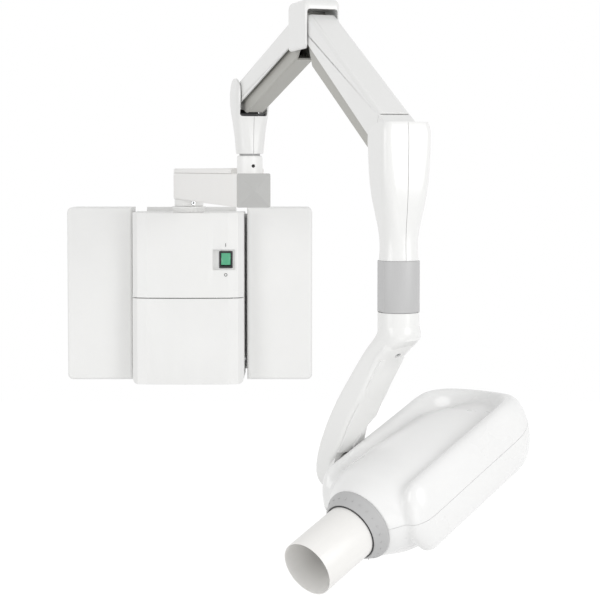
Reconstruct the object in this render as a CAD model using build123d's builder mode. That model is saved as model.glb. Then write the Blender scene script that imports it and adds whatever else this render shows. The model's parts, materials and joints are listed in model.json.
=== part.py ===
import os
from math import cos, radians, sin

from build123d import *

# Wall-mounted dental x-ray unit.
# Millimetres. The origin is the middle of the wall plate's back face: +X to the right,
# +Z up, and the unit stands out from the wall towards -Y.

os.makedirs("parts", exist_ok=True)

# Fits and gaps
seat_gap = 0.2  # between a piece and the face that carries it
run_clear = 0.05  # radial, round a shaft that turns
pin_clear = 0.03  # radial, round a pin that is fixed
part_gap = 0.4  # between a moving piece and its neighbour
seam_gap = 0.5  # between two halves of one cover
eps = 1.0  # how far a cut runs past the faces that it opens

# Wall plate and its stud holes
plate_width = 440.0
plate_height = 300.0
plate_thickness = 8.0
spine_width = 172.0
spine_height = 326.0
stud_spacing = 406.4
stud_rise = 200.0
stud_hole = 10.5

# Wing covers
wing_inner_x = 108.7
wing_outer_x = 232.0
wing_half_height = 163.5
wing_depth = 65.0
wing_wall = 2.5
wing_corner = 10.0
wing_edge = 5.0
wing_boss = 12.0

# Main cover of the controller
main_half_width = 103.5
main_depth = 125.0
main_step = 4.0  # the upper panel lies this far behind the lower one
main_bow = 3.0
main_facet_in = 76.0
main_facet_out = 94.0
main_facet_fall = 5.0
main_corner_fall = 9.0
main_wall = 2.5
main_top = 155.0
main_bottom = -165.0
main_corner = 9.0
ledge_top = 10.0
ledge_bottom = -3.0
main_joint = 1.5

# Power switch
switch_x = 71.0
switch_z = 67.5
recess_left = 46.8
recess_right = 88.4
recess_low = 48.3
recess_high = 86.6
recess_depth = 8.0
bezel_width = 25.0
bezel_height = 32.0
bezel_proud = 2.0
bezel_lip = 2.0
bezel_body_depth = 20.0
bezel_floor = 8.0
rocker_width = 18.0
rocker_height = 24.0
rocker_gap = 0.6
rocker_tilt = 8.0
rocker_taper = 1.0
rocker_pivot_in = 7.0
rocker_crest = 8.6
rocker_dip = 7.2

# Chassis and what it carries
chassis_half_width = 98.5
chassis_sheet = 1.5
chassis_depth = 60.0
chassis_inset = 2.0  # from the cover's inside, above and below
chassis_flange_short = 30.0  # how far the side flanges stop before each end
board_width = 160.0
board_height = 80.0
board_thickness = 1.6
board_stand = 18.0
board_post = 3.0
board_post_inset = 6.0
board_middle_z = -15.0
board_part_height = 22.0
transformer_place = (-50.0, -110.0)
core_width = 70.0
core_height = 62.0
core_depth = 54.0
coil_width = 50.0
coil_height = 84.0
coil_depth = 34.0
terminal_place = (45.0, -110.0)
terminal_width = 72.0
terminal_height = 20.0
terminal_depth = 14.0
terminal_pitch = 11.0
terminal_barrier = 1.5
terminal_barrier_rise = 4.0
cover_screw_radius = 4.0
cover_screw_head = 1.6
cover_screw_in = 40.0  # from the wall and from the lower edge

# Wall pivot of the mast
pivot_out = 75.0
bearing_outer = 54.0
bearing_inner = 44.0
bearing_low = 45.0
bush_length = 25.0
spindle_diameter = 38.0
flange_top_diameter = 63.0
flange_low_diameter = 56.0
flange_height = 11.0
hub_diameter = 54.0
hub_height = 12.6
gusset_thickness = 6.0
cable_hole = 16.0
hub_screw_radius = 4.0
hub_screw_head = 4.0
hub_screw_pitch = 26.0
hub_stop_angle = 21.0
hub_stop_radius = 4.2

# Mast
mast_angle = 12.73  # turned from straight out towards +X
mast_reach = 610.0
mast_section = 50.0
mast_wall = 4.0
mast_corner = 2.5
mast_behind = 27.0
mast_beyond = 29.0
mast_low = 179.0
duct_height = 8.0
duct_wall = 2.0
cap_plate = 2.0
cap_apex = 6.0
cap_plug = 7.0

# Post at the mast's end
collar_diameter = 38.0
collar_height = 26.0
socket_diameter = 32.0
post_diameter = 25.0
washer_diameter = 30.5
washer_height = 3.0
grub_diameter = 5.5
grub_rise = 11.0
grub_length = 3.5
grub_key = 1.4
socket_floor = 2.0  # from the socket's end to the spindle's

# Scissor arms
arm_angle = 18.5  # heading of the arms, turned from straight out towards +X
lower_rise = 15.2  # how far the lower arm points above the level at rest
upper_fall = 28.3  # how far the upper arm points below the level at rest
elbow_reach = 290.0  # from the post to the middle of the elbow, on the level
elbow_pitch = 40.0  # between the two elbow pins
wrist_reach = 583.2  # from the post to the column's axis, on the level
lower_pivot_rise = 78.5  # above the washer
cover_width = 38.0
cover_top = 25.7
cover_wall = 2.5
cover_round = 5.0
lower_skirt = 7.0
upper_skirt_start = 8.5
upper_skirt_end = 13.0
beam_width = 25.0
beam_wall = 2.5
lower_beam_low = 25.0
upper_beam_low = 34.0
beam_neck = 18.0
beam_end = 13.0
neck_length = 40.0
lower_neck_run = 20.0  # from the pin to where the neck meets the full depth, along the underside
upper_neck_run = 32.0
pin_diameter = 8.0
link_pin_diameter = 5.0
link_offset = 15.0
link_height = 6.0
link_eye = 5.2
link_width = 5.2
link_side = 0.3
tongue_half = 6.5
spring_diameter = 16.0
spring_drop = 12.0
spring_start = 90.0
spring_pin = 3.0
spring_pin_back = 12.0  # from the end of the channel
rod_diameter = 7.0
rod_start = 38.0
rod_in_body = 20.0
rod_eye = 5.0
cap_length = 28.0  # of the upper arm's end cap, before the wrist's pin

# Lower yoke
slot_width = 41.5
slot_rise = 55.0  # slot floor above the washer
slot_corner = 4.0
ear_shoulder = 26.0
yoke_ear_rise = 111.0
yoke_core_radius = 16.5
yoke_core_rise = 50.0
yoke_pin_half = 23.5

# Elbow
hood_length = 72.0
hood_width = 48.0
hood_below = 21.5
hood_above = 42.0
hood_roof = 29.1
hood_round = 10.0
hood_edge = 6.0
elbow_plate_in = 12.8
elbow_plate = 3.0
bridge_low = -2.0
bridge_high = 14.0
bridge_half = 6.0
link_plate_low = -8.5
link_plate_high = 21.0

# Wrist and column
wrist_half = 29.3
wrist_depth = 28.5
wrist_above = 24.5
wrist_slot_below = 29.8
ear_fall_start = 8.0
ear_fall_middle = (-13.0, 17.5)
ear_rear_rise = 3.8
column_radius = 21.8
sleeve_radius = 23.7
sleeve_flat = 21.6
sleeve_top = 133.0
sleeve_bottom = 75.0
column_tube = 15.0
spindle_radius = 10.0
spindle_top = 178.0
wrist_front_wall = 3.2

# Head yoke
collar_low = 44.0
yoke_angle = -42.8  # heading of the beam, turned from straight out towards -X
tilt_height = -112.0
tilt_reach = 75.0  # from the column's axis to the yoke's inner face
yoke_thickness = 28.0
yoke_half_width = 26.0
tilt_down = 18.0  # how far the head tips down from its rest
relief_step = 6.0
relief_gap = 1.0
cover_sunk = 2.5
cover_margin = 3.0
cover_crown = 3.0
cover_edge = 0.8
tilt_shaft = 16.0
shaft_depth = 20.0
hub_radius = 20.0
hub_inner = 42.0
spot_depth = 15.0
spot_in = 10.0
yoke_screw_radius = 5.0
yoke_screw_key = 2.6
yoke_screw_head = 2.0

# Tube head
beam_drop = 21.5  # how far the beam points below the level at rest
head_aside = 5.1  # beam's axis from the column's axis, away from the yoke
head_drop = 10.1  # beam's axis below the tilt axis
head_front = 82.8
egg_half = 70.0
egg_rise = 62.0
chamber_half = 37.0
band_line = 54.0
band_half = 24.0
band_rise = 46.0
band_shift = -3.0
band_front = 43.8
band_rear = -124.2
band_rear_fall = 11.5  # how much lower its top is at the rear
ring_length = 16.3
ring_big = 41.0
ring_small = 35.0
ring_rim = 3.0
cone_outer = 31.0
cone_inner = 30.0
cone_end = 173.0
tank_radius = 34.0
tank_wall = 3.0
tank_front = 62.0
tank_rear = 98.0
window_radius = 12.0
tank_boss_start = 20.0
tube_neck = 13.0
tube_bulb = 18.5
hub_seat_in = 10.0


def heading(angle):
    return Vector(sin(radians(angle)), -cos(radians(angle)), 0)


def level_plane(origin, angle):
    """Level plane: x runs forward along the heading, y to its right."""
    return Plane(origin=origin, x_dir=heading(angle), z_dir=(0, 0, 1))


def upright_plane(origin, angle, rise=0.0):
    """Upright plane through the heading: x runs forward, y up and square to it, z to the left."""
    forward = heading(angle) * cos(radians(rise)) + Vector(0, 0, sin(radians(rise)))
    left = Vector(-cos(radians(angle)), -sin(radians(angle)), 0)
    return Plane(origin=origin, x_dir=forward, z_dir=left)


def square_plane(base, along):
    """Plane square to the x direction of an upright plane, at a distance along it: x to the left, y up."""
    return Plane(origin=base.from_local_coords((along, 0, 0)), x_dir=base.z_dir, z_dir=-base.x_dir)


def write(piece, label):
    piece.part.label = label
    export_step(piece.part, f"parts/{label}.step")
    print(f"{label}: {len(piece.part.solids())} solids, {piece.part.volume / 1000:.1f} cm3")


# Places that the pieces share
plate_front = plate_thickness
pivot_top = main_top + flange_height
mast_axis = Vector(0, -pivot_out, 0)
post_foot = mast_axis + heading(mast_angle) * mast_reach
mast_high = mast_low + mast_section
collar_top = mast_high + collar_height
washer_top = collar_top + washer_height
lower_pivot = Vector(post_foot.X, post_foot.Y, washer_top + lower_pivot_rise)
lower_span = (elbow_reach - elbow_pitch / 2) / cos(radians(lower_rise))
elbow_level = lower_pivot.Z + lower_span * sin(radians(lower_rise))
elbow_rear = lower_pivot + heading(arm_angle) * (elbow_reach - elbow_pitch / 2)
elbow_rear = Vector(elbow_rear.X, elbow_rear.Y, elbow_level)
elbow_front = elbow_rear + heading(arm_angle) * elbow_pitch
upper_run = wrist_reach - elbow_reach - elbow_pitch / 2
upper_span = upper_run / cos(radians(upper_fall))
wrist_pivot = elbow_front + heading(arm_angle) * upper_run
wrist_pivot = Vector(wrist_pivot.X, wrist_pivot.Y, elbow_level - upper_span * sin(radians(upper_fall)))
column_foot = Vector(wrist_pivot.X, wrist_pivot.Y, 0)
tilt_centre = Vector(column_foot.X, column_foot.Y, tilt_height)
print("post", post_foot, "elbow", elbow_rear, elbow_front, "wrist", wrist_pivot)


# Wall plate

with BuildPart() as wall_plate:
    with BuildSketch(Plane.XZ):
        Rectangle(plate_width, plate_height)
        Rectangle(spine_width, spine_height)
        with GridLocations(stud_spacing, stud_rise, 2, 2):
            Circle(stud_hole / 2, mode=Mode.SUBTRACT)
    extrude(amount=plate_thickness)
write(wall_plate, "wall_plate")


# Wing covers, one each side of the controller

def wing_cover(side):
    middle = side * (wing_inner_x + wing_outer_x) / 2
    span = wing_outer_x - wing_inner_x
    with BuildPart() as cover:
        with BuildSketch(Plane.XZ):
            with Locations((middle, 0)):
                Rectangle(span, 2 * wing_half_height)
            outer = vertices().group_by(Axis.X)[-1 if side > 0 else 0]
            fillet(outer, radius=wing_corner)
        extrude(amount=wing_depth)
        fillet(cover.faces().sort_by(Axis.Y)[0].edges(), radius=wing_edge)
        # hollow, open to the wall
        with BuildSketch(Plane.XZ.offset(-eps)):
            with Locations((middle, 0)):
                Rectangle(span - 2 * wing_wall, 2 * (wing_half_height - wing_wall))
            fillet(vertices().group_by(Axis.X)[-1 if side > 0 else 0], radius=wing_corner - wing_wall)
        extrude(amount=wing_depth - wing_wall + eps, mode=Mode.SUBTRACT)
        with BuildSketch(Plane.XZ):
            Rectangle(plate_width + 2 * eps, plate_height + 2 * eps)
        extrude(amount=plate_front + seat_gap, mode=Mode.SUBTRACT)
        with BuildSketch(Plane.XZ.offset(plate_front + seat_gap)):
            with Locations((middle, stud_rise / 4), (middle, -stud_rise / 4)):
                Circle(wing_boss / 2)
        extrude(amount=wing_depth - wing_wall - plate_front - seat_gap)
    return cover


left_wing_cover = wing_cover(-1)
write(left_wing_cover, "left_wing_cover")
right_wing_cover = wing_cover(1)
write(right_wing_cover, "right_wing_cover")


# Main cover: an upper panel that flares out to a lower one

def cover_outline(depth, inset, back):
    """Plan of the main cover: bowed front, a narrow facet and a broken corner at each side."""
    facet_y = -(depth - main_bow)
    corner_y = facet_y + main_facet_fall
    side_y = corner_y + main_corner_fall
    with BuildSketch() as outline:
        with BuildLine():
            Polyline(
                (-main_facet_in, facet_y),
                (-main_facet_out, corner_y),
                (-main_half_width, side_y),
                (-main_half_width, -back),
                (main_half_width, -back),
                (main_half_width, side_y),
                (main_facet_out, corner_y),
                (main_facet_in, facet_y),
            )
            ThreePointArc((main_facet_in, facet_y), (0, -depth), (-main_facet_in, facet_y))
        make_face()
        if inset:
            offset(amount=-inset, kind=Kind.INTERSECTION)
            with Locations((0, -back)):
                Rectangle(2 * (main_half_width - inset), 2 * inset + eps)
    return outline.sketch


cover_back = plate_front + seat_gap
upper_depth = main_depth - main_step
bezel_body_width = bezel_width - 2 * bezel_lip
bezel_body_height = bezel_height - 2 * bezel_lip
switch_floor = upper_depth - main_bow - recess_depth

with BuildPart() as main_cover_upper:
    add(cover_outline(upper_depth, 0, cover_back).moved(Location((0, 0, ledge_top))))
    extrude(amount=main_top - ledge_top, dir=(0, 0, 1))
    add(cover_outline(upper_depth, 0, cover_back).moved(Location((0, 0, ledge_top))))
    add(cover_outline(main_depth, 0, cover_back).moved(Location((0, 0, ledge_bottom))))
    loft()
    fillet(main_cover_upper.faces().sort_by(Axis.Z)[-1].edges().sort_by(Axis.Y)[0], radius=2.0)
    add(cover_outline(upper_depth, main_wall, cover_back).moved(Location((0, 0, ledge_bottom - eps))))
    extrude(amount=main_top - main_wall - ledge_bottom + eps, dir=(0, 0, 1), mode=Mode.SUBTRACT)
    # the pocket that the power switch stands in
    recess_mid_x = (recess_left + recess_right) / 2
    recess_mid_z = (recess_low + recess_high) / 2
    recess_w = recess_right - recess_left
    recess_h = recess_high - recess_low
    with BuildSketch(Plane.XZ.offset(switch_floor - main_wall)):
        with Locations((recess_mid_x, recess_mid_z)):
            Rectangle(recess_w + 2 * main_wall, recess_h + 2 * main_wall)
    extrude(amount=recess_depth - eps)
    with BuildSketch(Plane.XZ.offset(switch_floor)):
        with Locations((recess_mid_x, recess_mid_z)):
            RectangleRounded(recess_w, recess_h, 2.0)
    extrude(amount=recess_depth + main_bow + eps, mode=Mode.SUBTRACT)
    with BuildSketch(Plane.XZ.offset(switch_floor - main_wall - eps)):
        with Locations((switch_x, switch_z)):
            Rectangle(bezel_body_width + 2 * seat_gap, bezel_body_height + 2 * seat_gap)
    extrude(amount=main_wall + 2 * eps, mode=Mode.SUBTRACT)
    # the opening under the mast's flange
    with BuildSketch(Plane.XY.offset(main_top - main_wall - eps)):
        with Locations((0, -pivot_out)):
            Circle(bearing_outer / 2 + seat_gap)
        with Locations((0, -pivot_out / 2)):
            Rectangle(bearing_outer + 2 * seat_gap, pivot_out)
    extrude(amount=main_wall + 2 * eps, mode=Mode.SUBTRACT)
write(main_cover_upper, "main_cover_upper")

lower_top = ledge_bottom - main_joint
with BuildPart() as main_cover_lower:
    add(cover_outline(main_depth, 0, cover_back).moved(Location((0, 0, main_bottom))))
    extrude(amount=lower_top - main_bottom, dir=(0, 0, 1))
    with BuildSketch(Plane.XZ):
        with Locations((0, (lower_top + main_bottom) / 2)):
            Rectangle(2 * main_half_width, lower_top - main_bottom)
        fillet(vertices().group_by(Axis.Y)[0], radius=main_corner)
    extrude(amount=main_depth + eps, mode=Mode.INTERSECT)
    add(cover_outline(main_depth, main_wall, cover_back).moved(Location((0, 0, main_bottom + main_wall))))
    extrude(amount=lower_top - main_bottom, dir=(0, 0, 1), mode=Mode.SUBTRACT)
write(main_cover_lower, "main_cover_lower")


# Power switch: bezel with its body, and the lit rocker

bezel_face = switch_floor + bezel_proud
with BuildPart() as switch_bezel:
    with BuildSketch(Plane.XZ.offset(switch_floor)):
        with Locations((switch_x, switch_z)):
            RectangleRounded(bezel_width, bezel_height, 1.5)
    extrude(amount=bezel_proud)
    with BuildSketch(Plane.XZ.offset(switch_floor)):
        with Locations((switch_x, switch_z)):
            Rectangle(bezel_body_width, bezel_body_height)
    extrude(amount=-bezel_body_depth)
    with BuildSketch(Plane.XZ.offset(bezel_face)):
        with Locations((switch_x, switch_z)):
            Rectangle(rocker_width + 2 * rocker_gap, rocker_height + 2 * rocker_gap)
    extrude(amount=-(bezel_proud + bezel_body_depth - bezel_floor), mode=Mode.SUBTRACT)
write(switch_bezel, "switch_bezel")

rocker_pivot = Vector(switch_x, -(bezel_face - rocker_pivot_in), switch_z)
rocker_up = Vector(0, sin(radians(rocker_tilt)), cos(radians(rocker_tilt)))
rocker_turned = Plane(origin=rocker_pivot, x_dir=rocker_up, z_dir=(1, 0, 0))
with BuildPart() as switch_rocker:
    with BuildSketch(rocker_turned):
        with BuildLine():
            half = rocker_height / 2
            crest = half - rocker_taper
            Polyline(
                (-crest, rocker_crest),
                (-crest, 4.0),
                (-4.5, -3.0),
                (4.5, -3.0),
                (crest, 4.0),
                (crest, rocker_crest),
            )
            ThreePointArc((crest, rocker_crest), (0, rocker_dip), (-crest, rocker_crest))
        make_face()
    extrude(amount=rocker_width / 2 - part_gap, both=True)
write(switch_rocker, "switch_rocker")


# Chassis of the controller: a folded tray with an ear at each top corner

chassis_height = main_top - main_bottom - 2 * (main_wall + chassis_inset)
with BuildPart() as chassis_tray:
    with BuildSketch(Plane.XZ.offset(plate_front + seat_gap)):
        with Locations((0, (main_bottom + main_top) / 2)):
            Rectangle(2 * (chassis_half_width - seat_gap), chassis_height)
        # room for the bearing bracket
        with Locations((0, (bearing_low + main_top) / 2)):
            bracket_room = bearing_outer + 2 * gusset_thickness
            Rectangle(bracket_room, main_top - bearing_low + 4 * eps, mode=Mode.SUBTRACT)
    extrude(amount=chassis_sheet)
    for side in (-1, 1):
        with BuildSketch(Plane.XZ.offset(plate_front + seat_gap)):
            with Locations((side * (chassis_half_width - chassis_sheet), 0)):
                Rectangle(chassis_sheet, main_top - main_bottom - 2 * chassis_flange_short)
        extrude(amount=chassis_depth)
write(chassis_tray, "chassis_tray")

back = plate_front + 2 * seat_gap + chassis_sheet
board_face = back + board_stand + board_thickness
with BuildPart() as circuit_board:
    with BuildSketch(Plane.XZ.offset(back + board_stand)):
        with Locations((0, board_middle_z)):
            Rectangle(board_width, board_height)
    extrude(amount=board_thickness)
    with BuildSketch(Plane.XZ.offset(back)):
        with Locations((0, board_middle_z)):
            with GridLocations(board_width - 2 * board_post_inset, board_height - 2 * board_post_inset, 2, 2):
                Circle(board_post)
    extrude(amount=board_stand)
    # two capacitors and a relay
    with BuildSketch(Plane.XZ.offset(board_face)):
        with Locations((-50, -5), (-50, -35)):
            Circle(9)
        with Locations((25, -20)):
            Rectangle(50, 26)
    extrude(amount=board_part_height)
write(circuit_board, "circuit_board")

with BuildPart() as power_transformer:
    with BuildSketch(Plane.XZ.offset(back)):
        with Locations(transformer_place):
            Rectangle(core_width, core_height)
    extrude(amount=core_depth)
    with BuildSketch(Plane.XZ.offset(back + (core_depth - coil_depth) / 2)):
        with Locations(transformer_place):
            RectangleRounded(coil_width, coil_height, 6)
    extrude(amount=coil_depth)
write(power_transformer, "power_transformer")

with BuildPart() as terminal_block:
    with BuildSketch(Plane.XZ.offset(back)):
        with Locations(terminal_place):
            Rectangle(terminal_width, terminal_height)
    extrude(amount=terminal_depth)
    with BuildSketch(Plane.XZ.offset(back + terminal_depth)):
        with Locations(terminal_place):
            with GridLocations(terminal_pitch, terminal_height, 6, 1):
                Rectangle(terminal_barrier, terminal_height)
    extrude(amount=terminal_barrier_rise)
write(terminal_block, "terminal_block")

with BuildPart() as cover_screws:
    for side in (-1, 1):
        place = (side * main_half_width, -cover_back - cover_screw_in, main_bottom + cover_screw_in)
        screw_plane = Plane(origin=place, x_dir=(0, 1, 0), z_dir=(side, 0, 0))
        with BuildSketch(screw_plane):
            Circle(cover_screw_radius)
        extrude(amount=cover_screw_head)
        with BuildSketch(screw_plane.offset(cover_screw_head)):
            Rectangle(1.25 * cover_screw_radius, cover_screw_radius / 4)
        extrude(amount=-cover_screw_head / 2, mode=Mode.SUBTRACT)
write(cover_screws, "cover_screws")


# Wall pivot of the mast

with BuildPart() as bearing_bracket:
    with BuildSketch(Plane.XY.offset(bearing_low)):
        with Locations((0, -pivot_out)):
            Circle(bearing_outer / 2)
        # two gussets back to the wall plate
        for side in (-1, 1):
            with Locations((side * (bearing_outer - gusset_thickness) / 2, -(pivot_out + cover_back) / 2)):
                Rectangle(gusset_thickness, pivot_out - cover_back)
        with Locations((0, -pivot_out)):
            Circle(bearing_inner / 2, mode=Mode.SUBTRACT)
    extrude(amount=main_top - bearing_low)
write(bearing_bracket, "bearing_bracket")

with BuildPart() as pivot_bushes:
    for low in (bearing_low, main_top - bush_length):
        with BuildSketch(Plane.XY.offset(low)):
            with Locations((0, -pivot_out)):
                Circle(bearing_inner / 2 - pin_clear)
                Circle(spindle_diameter / 2 + run_clear, mode=Mode.SUBTRACT)
        extrude(amount=bush_length)
write(pivot_bushes, "pivot_bushes")

pivot_section = upright_plane(mast_axis, mast_angle)
flange_low = main_top + seat_gap
with BuildPart() as pivot_flange:
    with BuildSketch(pivot_section):
        with BuildLine():
            Polyline(
                (spindle_diameter / 2 + part_gap, flange_low),
                (flange_low_diameter / 2, flange_low),
                (flange_top_diameter / 2, pivot_top - 2.5),
                (flange_top_diameter / 2, pivot_top),
                (spindle_diameter / 2 + part_gap, pivot_top),
                close=True,
            )
        make_face()
    revolve(axis=Axis(mast_axis, (0, 0, 1)))
write(pivot_flange, "pivot_flange")

hub_low = mast_low - hub_height
with BuildPart() as mast_hub:
    with BuildSketch(pivot_section):
        with BuildLine():
            Polyline(
                (0, bearing_low),
                (spindle_diameter / 2, bearing_low),
                (spindle_diameter / 2, hub_low),
                (hub_diameter / 2 - 1, hub_low),
                (hub_diameter / 2, hub_low + 1),
                (hub_diameter / 2, mast_low),
                (0, mast_low),
                close=True,
            )
        make_face()
    revolve(axis=Axis(mast_axis, (0, 0, 1)))
    with BuildSketch(Plane.XY.offset(bearing_low)):
        with Locations((0, -pivot_out)):
            Circle(cable_hole / 2)
    extrude(amount=mast_low - bearing_low, mode=Mode.SUBTRACT)
    hub_middle = mast_axis + Vector(0, 0, hub_low + hub_height / 2)
    radial = Plane(origin=hub_middle, x_dir=(0, 0, 1), z_dir=heading(hub_stop_angle))
    with BuildSketch(radial.offset(hub_diameter / 2 - 3)):
        Circle(hub_stop_radius)
    extrude(amount=4, mode=Mode.SUBTRACT)
write(mast_hub, "mast_hub")

with BuildPart() as hub_screws:
    with BuildSketch(level_plane(mast_axis + Vector(0, 0, mast_low + mast_wall + seat_gap), mast_angle)):
        with GridLocations(hub_screw_pitch, hub_screw_pitch, 2, 2):
            Circle(hub_screw_radius)
    extrude(amount=hub_screw_head)
    # the stop screw in the hub's side
    with BuildSketch(radial.offset(hub_diameter / 2 - 2.9)):
        Circle(hub_stop_radius - 0.3)
        RegularPolygon(hub_stop_radius / 2, 6, mode=Mode.SUBTRACT)
    extrude(amount=4.5)
write(hub_screws, "hub_screws")


# Mast: square tube, cable duct on top, a cap at each end

mast_side = upright_plane(mast_axis + Vector(0, 0, mast_low + mast_section / 2), mast_angle)
mast_back = square_plane(mast_side, -mast_behind)
with BuildPart() as mast_tube:
    with BuildSketch(mast_back):
        RectangleRounded(mast_section, mast_section, mast_corner)
        Rectangle(mast_section - 2 * mast_wall, mast_section - 2 * mast_wall, mode=Mode.SUBTRACT)
    extrude(amount=-(mast_behind + mast_reach + mast_beyond))
    with BuildSketch(Plane.XY.offset(mast_high - mast_wall - eps)):
        with Locations((post_foot.X, post_foot.Y)):
            Circle(socket_diameter / 2 + pin_clear)
    extrude(amount=mast_wall + 2 * eps, mode=Mode.SUBTRACT)
    with BuildSketch(Plane.XY.offset(mast_low - eps)):
        with Locations((0, -pivot_out)):
            Circle(cable_hole / 2)
    extrude(amount=mast_wall + 2 * eps, mode=Mode.SUBTRACT)
write(mast_tube, "mast_tube")

duct_end = mast_reach - collar_diameter / 2 - part_gap
with BuildPart() as mast_top_cover:
    with BuildSketch(mast_back):
        with Locations((0, (mast_section + duct_height) / 2)):
            Rectangle(mast_section, duct_height)
        fillet(vertices().group_by(Axis.Y)[-1], radius=3.0)
        with Locations((0, (mast_section + duct_height) / 2 - duct_wall)):
            Rectangle(mast_section - 2 * duct_wall, duct_height, mode=Mode.SUBTRACT)
    extrude(amount=-(mast_behind + duct_end))
    # closing wall at the collar and at the back
    for along in (-mast_behind, duct_end - duct_wall):
        with BuildSketch(square_plane(mast_side, along)):
            with Locations((0, (mast_section + duct_height - duct_wall) / 2)):
                Rectangle(mast_section - 2 * duct_wall, duct_height - duct_wall)
        extrude(amount=-duct_wall)
write(mast_top_cover, "mast_top_cover")

plug = mast_section - 2 * mast_wall - 2 * seat_gap
with BuildPart() as mast_end_cap:
    with BuildSketch(square_plane(mast_side, mast_reach + mast_beyond)):
        RectangleRounded(mast_section, mast_section, mast_corner)
    extrude(amount=-cap_plate)
    with BuildSketch(square_plane(mast_side, mast_reach + mast_beyond + cap_plate)):
        Rectangle(mast_section - 2, mast_section - 2)
    with BuildSketch(square_plane(mast_side, mast_reach + mast_beyond + cap_plate + cap_apex)):
        Rectangle(1, 1)
    loft()
    with BuildSketch(square_plane(mast_side, mast_reach + mast_beyond)):
        Rectangle(plug, plug)
        Rectangle(plug - 2 * mast_wall, plug - 2 * mast_wall, mode=Mode.SUBTRACT)
    extrude(amount=cap_plug)
write(mast_end_cap, "mast_end_cap")

with BuildPart() as mast_rear_cap:
    with BuildSketch(mast_back):
        RectangleRounded(mast_section, mast_section, mast_corner)
    extrude(amount=cap_plate)
    fillet(mast_rear_cap.edges(), radius=0.6)
    with BuildSketch(mast_back):
        Rectangle(plug, plug)
        Rectangle(plug - 2 * mast_wall, plug - 2 * mast_wall, mode=Mode.SUBTRACT)
    extrude(amount=-cap_plug)
write(mast_rear_cap, "mast_rear_cap")


# Post at the mast's end: fixed socket and collar, grub screw

post_section = upright_plane(post_foot, arm_angle)
post_axis = Axis(post_foot, (0, 0, 1))
socket_low = mast_low + mast_wall
grub_plane = Plane(
    origin=post_foot + Vector(0, 0, mast_high + grub_rise), x_dir=(0, 0, 1), z_dir=heading(arm_angle)
)
with BuildPart() as post_collar:
    with BuildSketch(post_section):
        with BuildLine():
            bore = post_diameter / 2 + run_clear
            Polyline(
                (bore, socket_low),
                (socket_diameter / 2, socket_low),
                (socket_diameter / 2, mast_high),
                (collar_diameter / 2, mast_high),
                (collar_diameter / 2, collar_top - 1),
                (collar_diameter / 2 - 1, collar_top),
                (bore, collar_top),
                close=True,
            )
        make_face()
    revolve(axis=post_axis)
    with BuildSketch(grub_plane):
        Circle(grub_diameter / 2)
    extrude(amount=collar_diameter, mode=Mode.SUBTRACT)
write(post_collar, "post_collar")

with BuildPart() as collar_screw:
    with BuildSketch(grub_plane.offset(post_diameter / 2 + 0.3)):
        Circle(grub_diameter / 2 - seat_gap)
        RegularPolygon(grub_key, 6, mode=Mode.SUBTRACT)
    extrude(amount=grub_length)
write(collar_screw, "collar_screw")


# Lower yoke: turns on the post, carries the lower arm

def rounded_loft(foot, angle, sections):
    """Smooth body through level rounded rectangles, each (height, half width, half depth, corner)."""
    with BuildPart() as body:
        for height, half_width, half_depth, corner in sections:
            with BuildSketch(level_plane(foot + Vector(0, 0, height), angle)):
                RectangleRounded(2 * half_depth, 2 * half_width, corner)
        loft()
    return body.part


def half_of(body, cutter_plane, side):
    """Keeps one side of a body, with half the seam's gap taken off."""
    gap = cutter_plane.offset(side * seam_gap / 2)
    return split(body, bisect_by=gap, keep=Keep.TOP if side > 0 else Keep.BOTTOM)


yoke_form = rounded_loft(
    post_foot,
    arm_angle,
    [
        (washer_top, 19.8, 19.8, 18.0),
        (washer_top + 27, 21.6, 21.0, 16.0),
        (washer_top + 55, 24.6, 23.5, 14.0),
        (washer_top + 77, 26.3, 25.5, 13.0),
        (washer_top + 97, 25.4, 25.5, 13.0),
        (washer_top + yoke_ear_rise, 22.8, 24.0, 12.0),
    ],
)
ear_radius = yoke_ear_rise - lower_pivot_rise
shoulder_rise = ear_radius - ear_shoulder
yoke_side = upright_plane(lower_pivot, arm_angle)
through = 2 * slot_width  # long enough to cut right through the yoke
with BuildPart() as yoke_body:
    add(yoke_form)
    # the ears end round above the pivot
    with BuildSketch(yoke_side):
        with BuildLine():
            Polyline(
                (-ear_shoulder, shoulder_rise),
                (-ear_shoulder, -lower_pivot_rise - eps),
                (ear_shoulder, -lower_pivot_rise - eps),
                (ear_shoulder, shoulder_rise),
            )
            ThreePointArc((ear_shoulder, shoulder_rise), (0, ear_radius), (-ear_shoulder, shoulder_rise))
        make_face()
    extrude(amount=through, both=True, mode=Mode.INTERSECT)
    # slot for the arm
    with BuildSketch(square_plane(yoke_side, 0)):
        with Locations((0, slot_rise - lower_pivot_rise + through / 2)):
            Rectangle(slot_width, through)
        fillet(vertices().group_by(Axis.Y)[0], radius=slot_corner)
    extrude(amount=through, both=True, mode=Mode.SUBTRACT)
    with BuildSketch(level_plane(post_foot + Vector(0, 0, washer_top - eps), arm_angle)):
        Circle(yoke_core_radius + seat_gap)
    extrude(amount=slot_rise + 2 * eps, mode=Mode.SUBTRACT)
    with BuildSketch(yoke_side):
        Circle(pin_diameter / 2 + pin_clear)
    extrude(amount=yoke_pin_half + seat_gap, both=True, mode=Mode.SUBTRACT)

with BuildPart() as lower_yoke_left:
    add(half_of(yoke_body.part, yoke_side, 1))
write(lower_yoke_left, "lower_yoke_left")
with BuildPart() as lower_yoke_right:
    add(half_of(yoke_body.part, yoke_side, -1))
write(lower_yoke_right, "lower_yoke_right")


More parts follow.
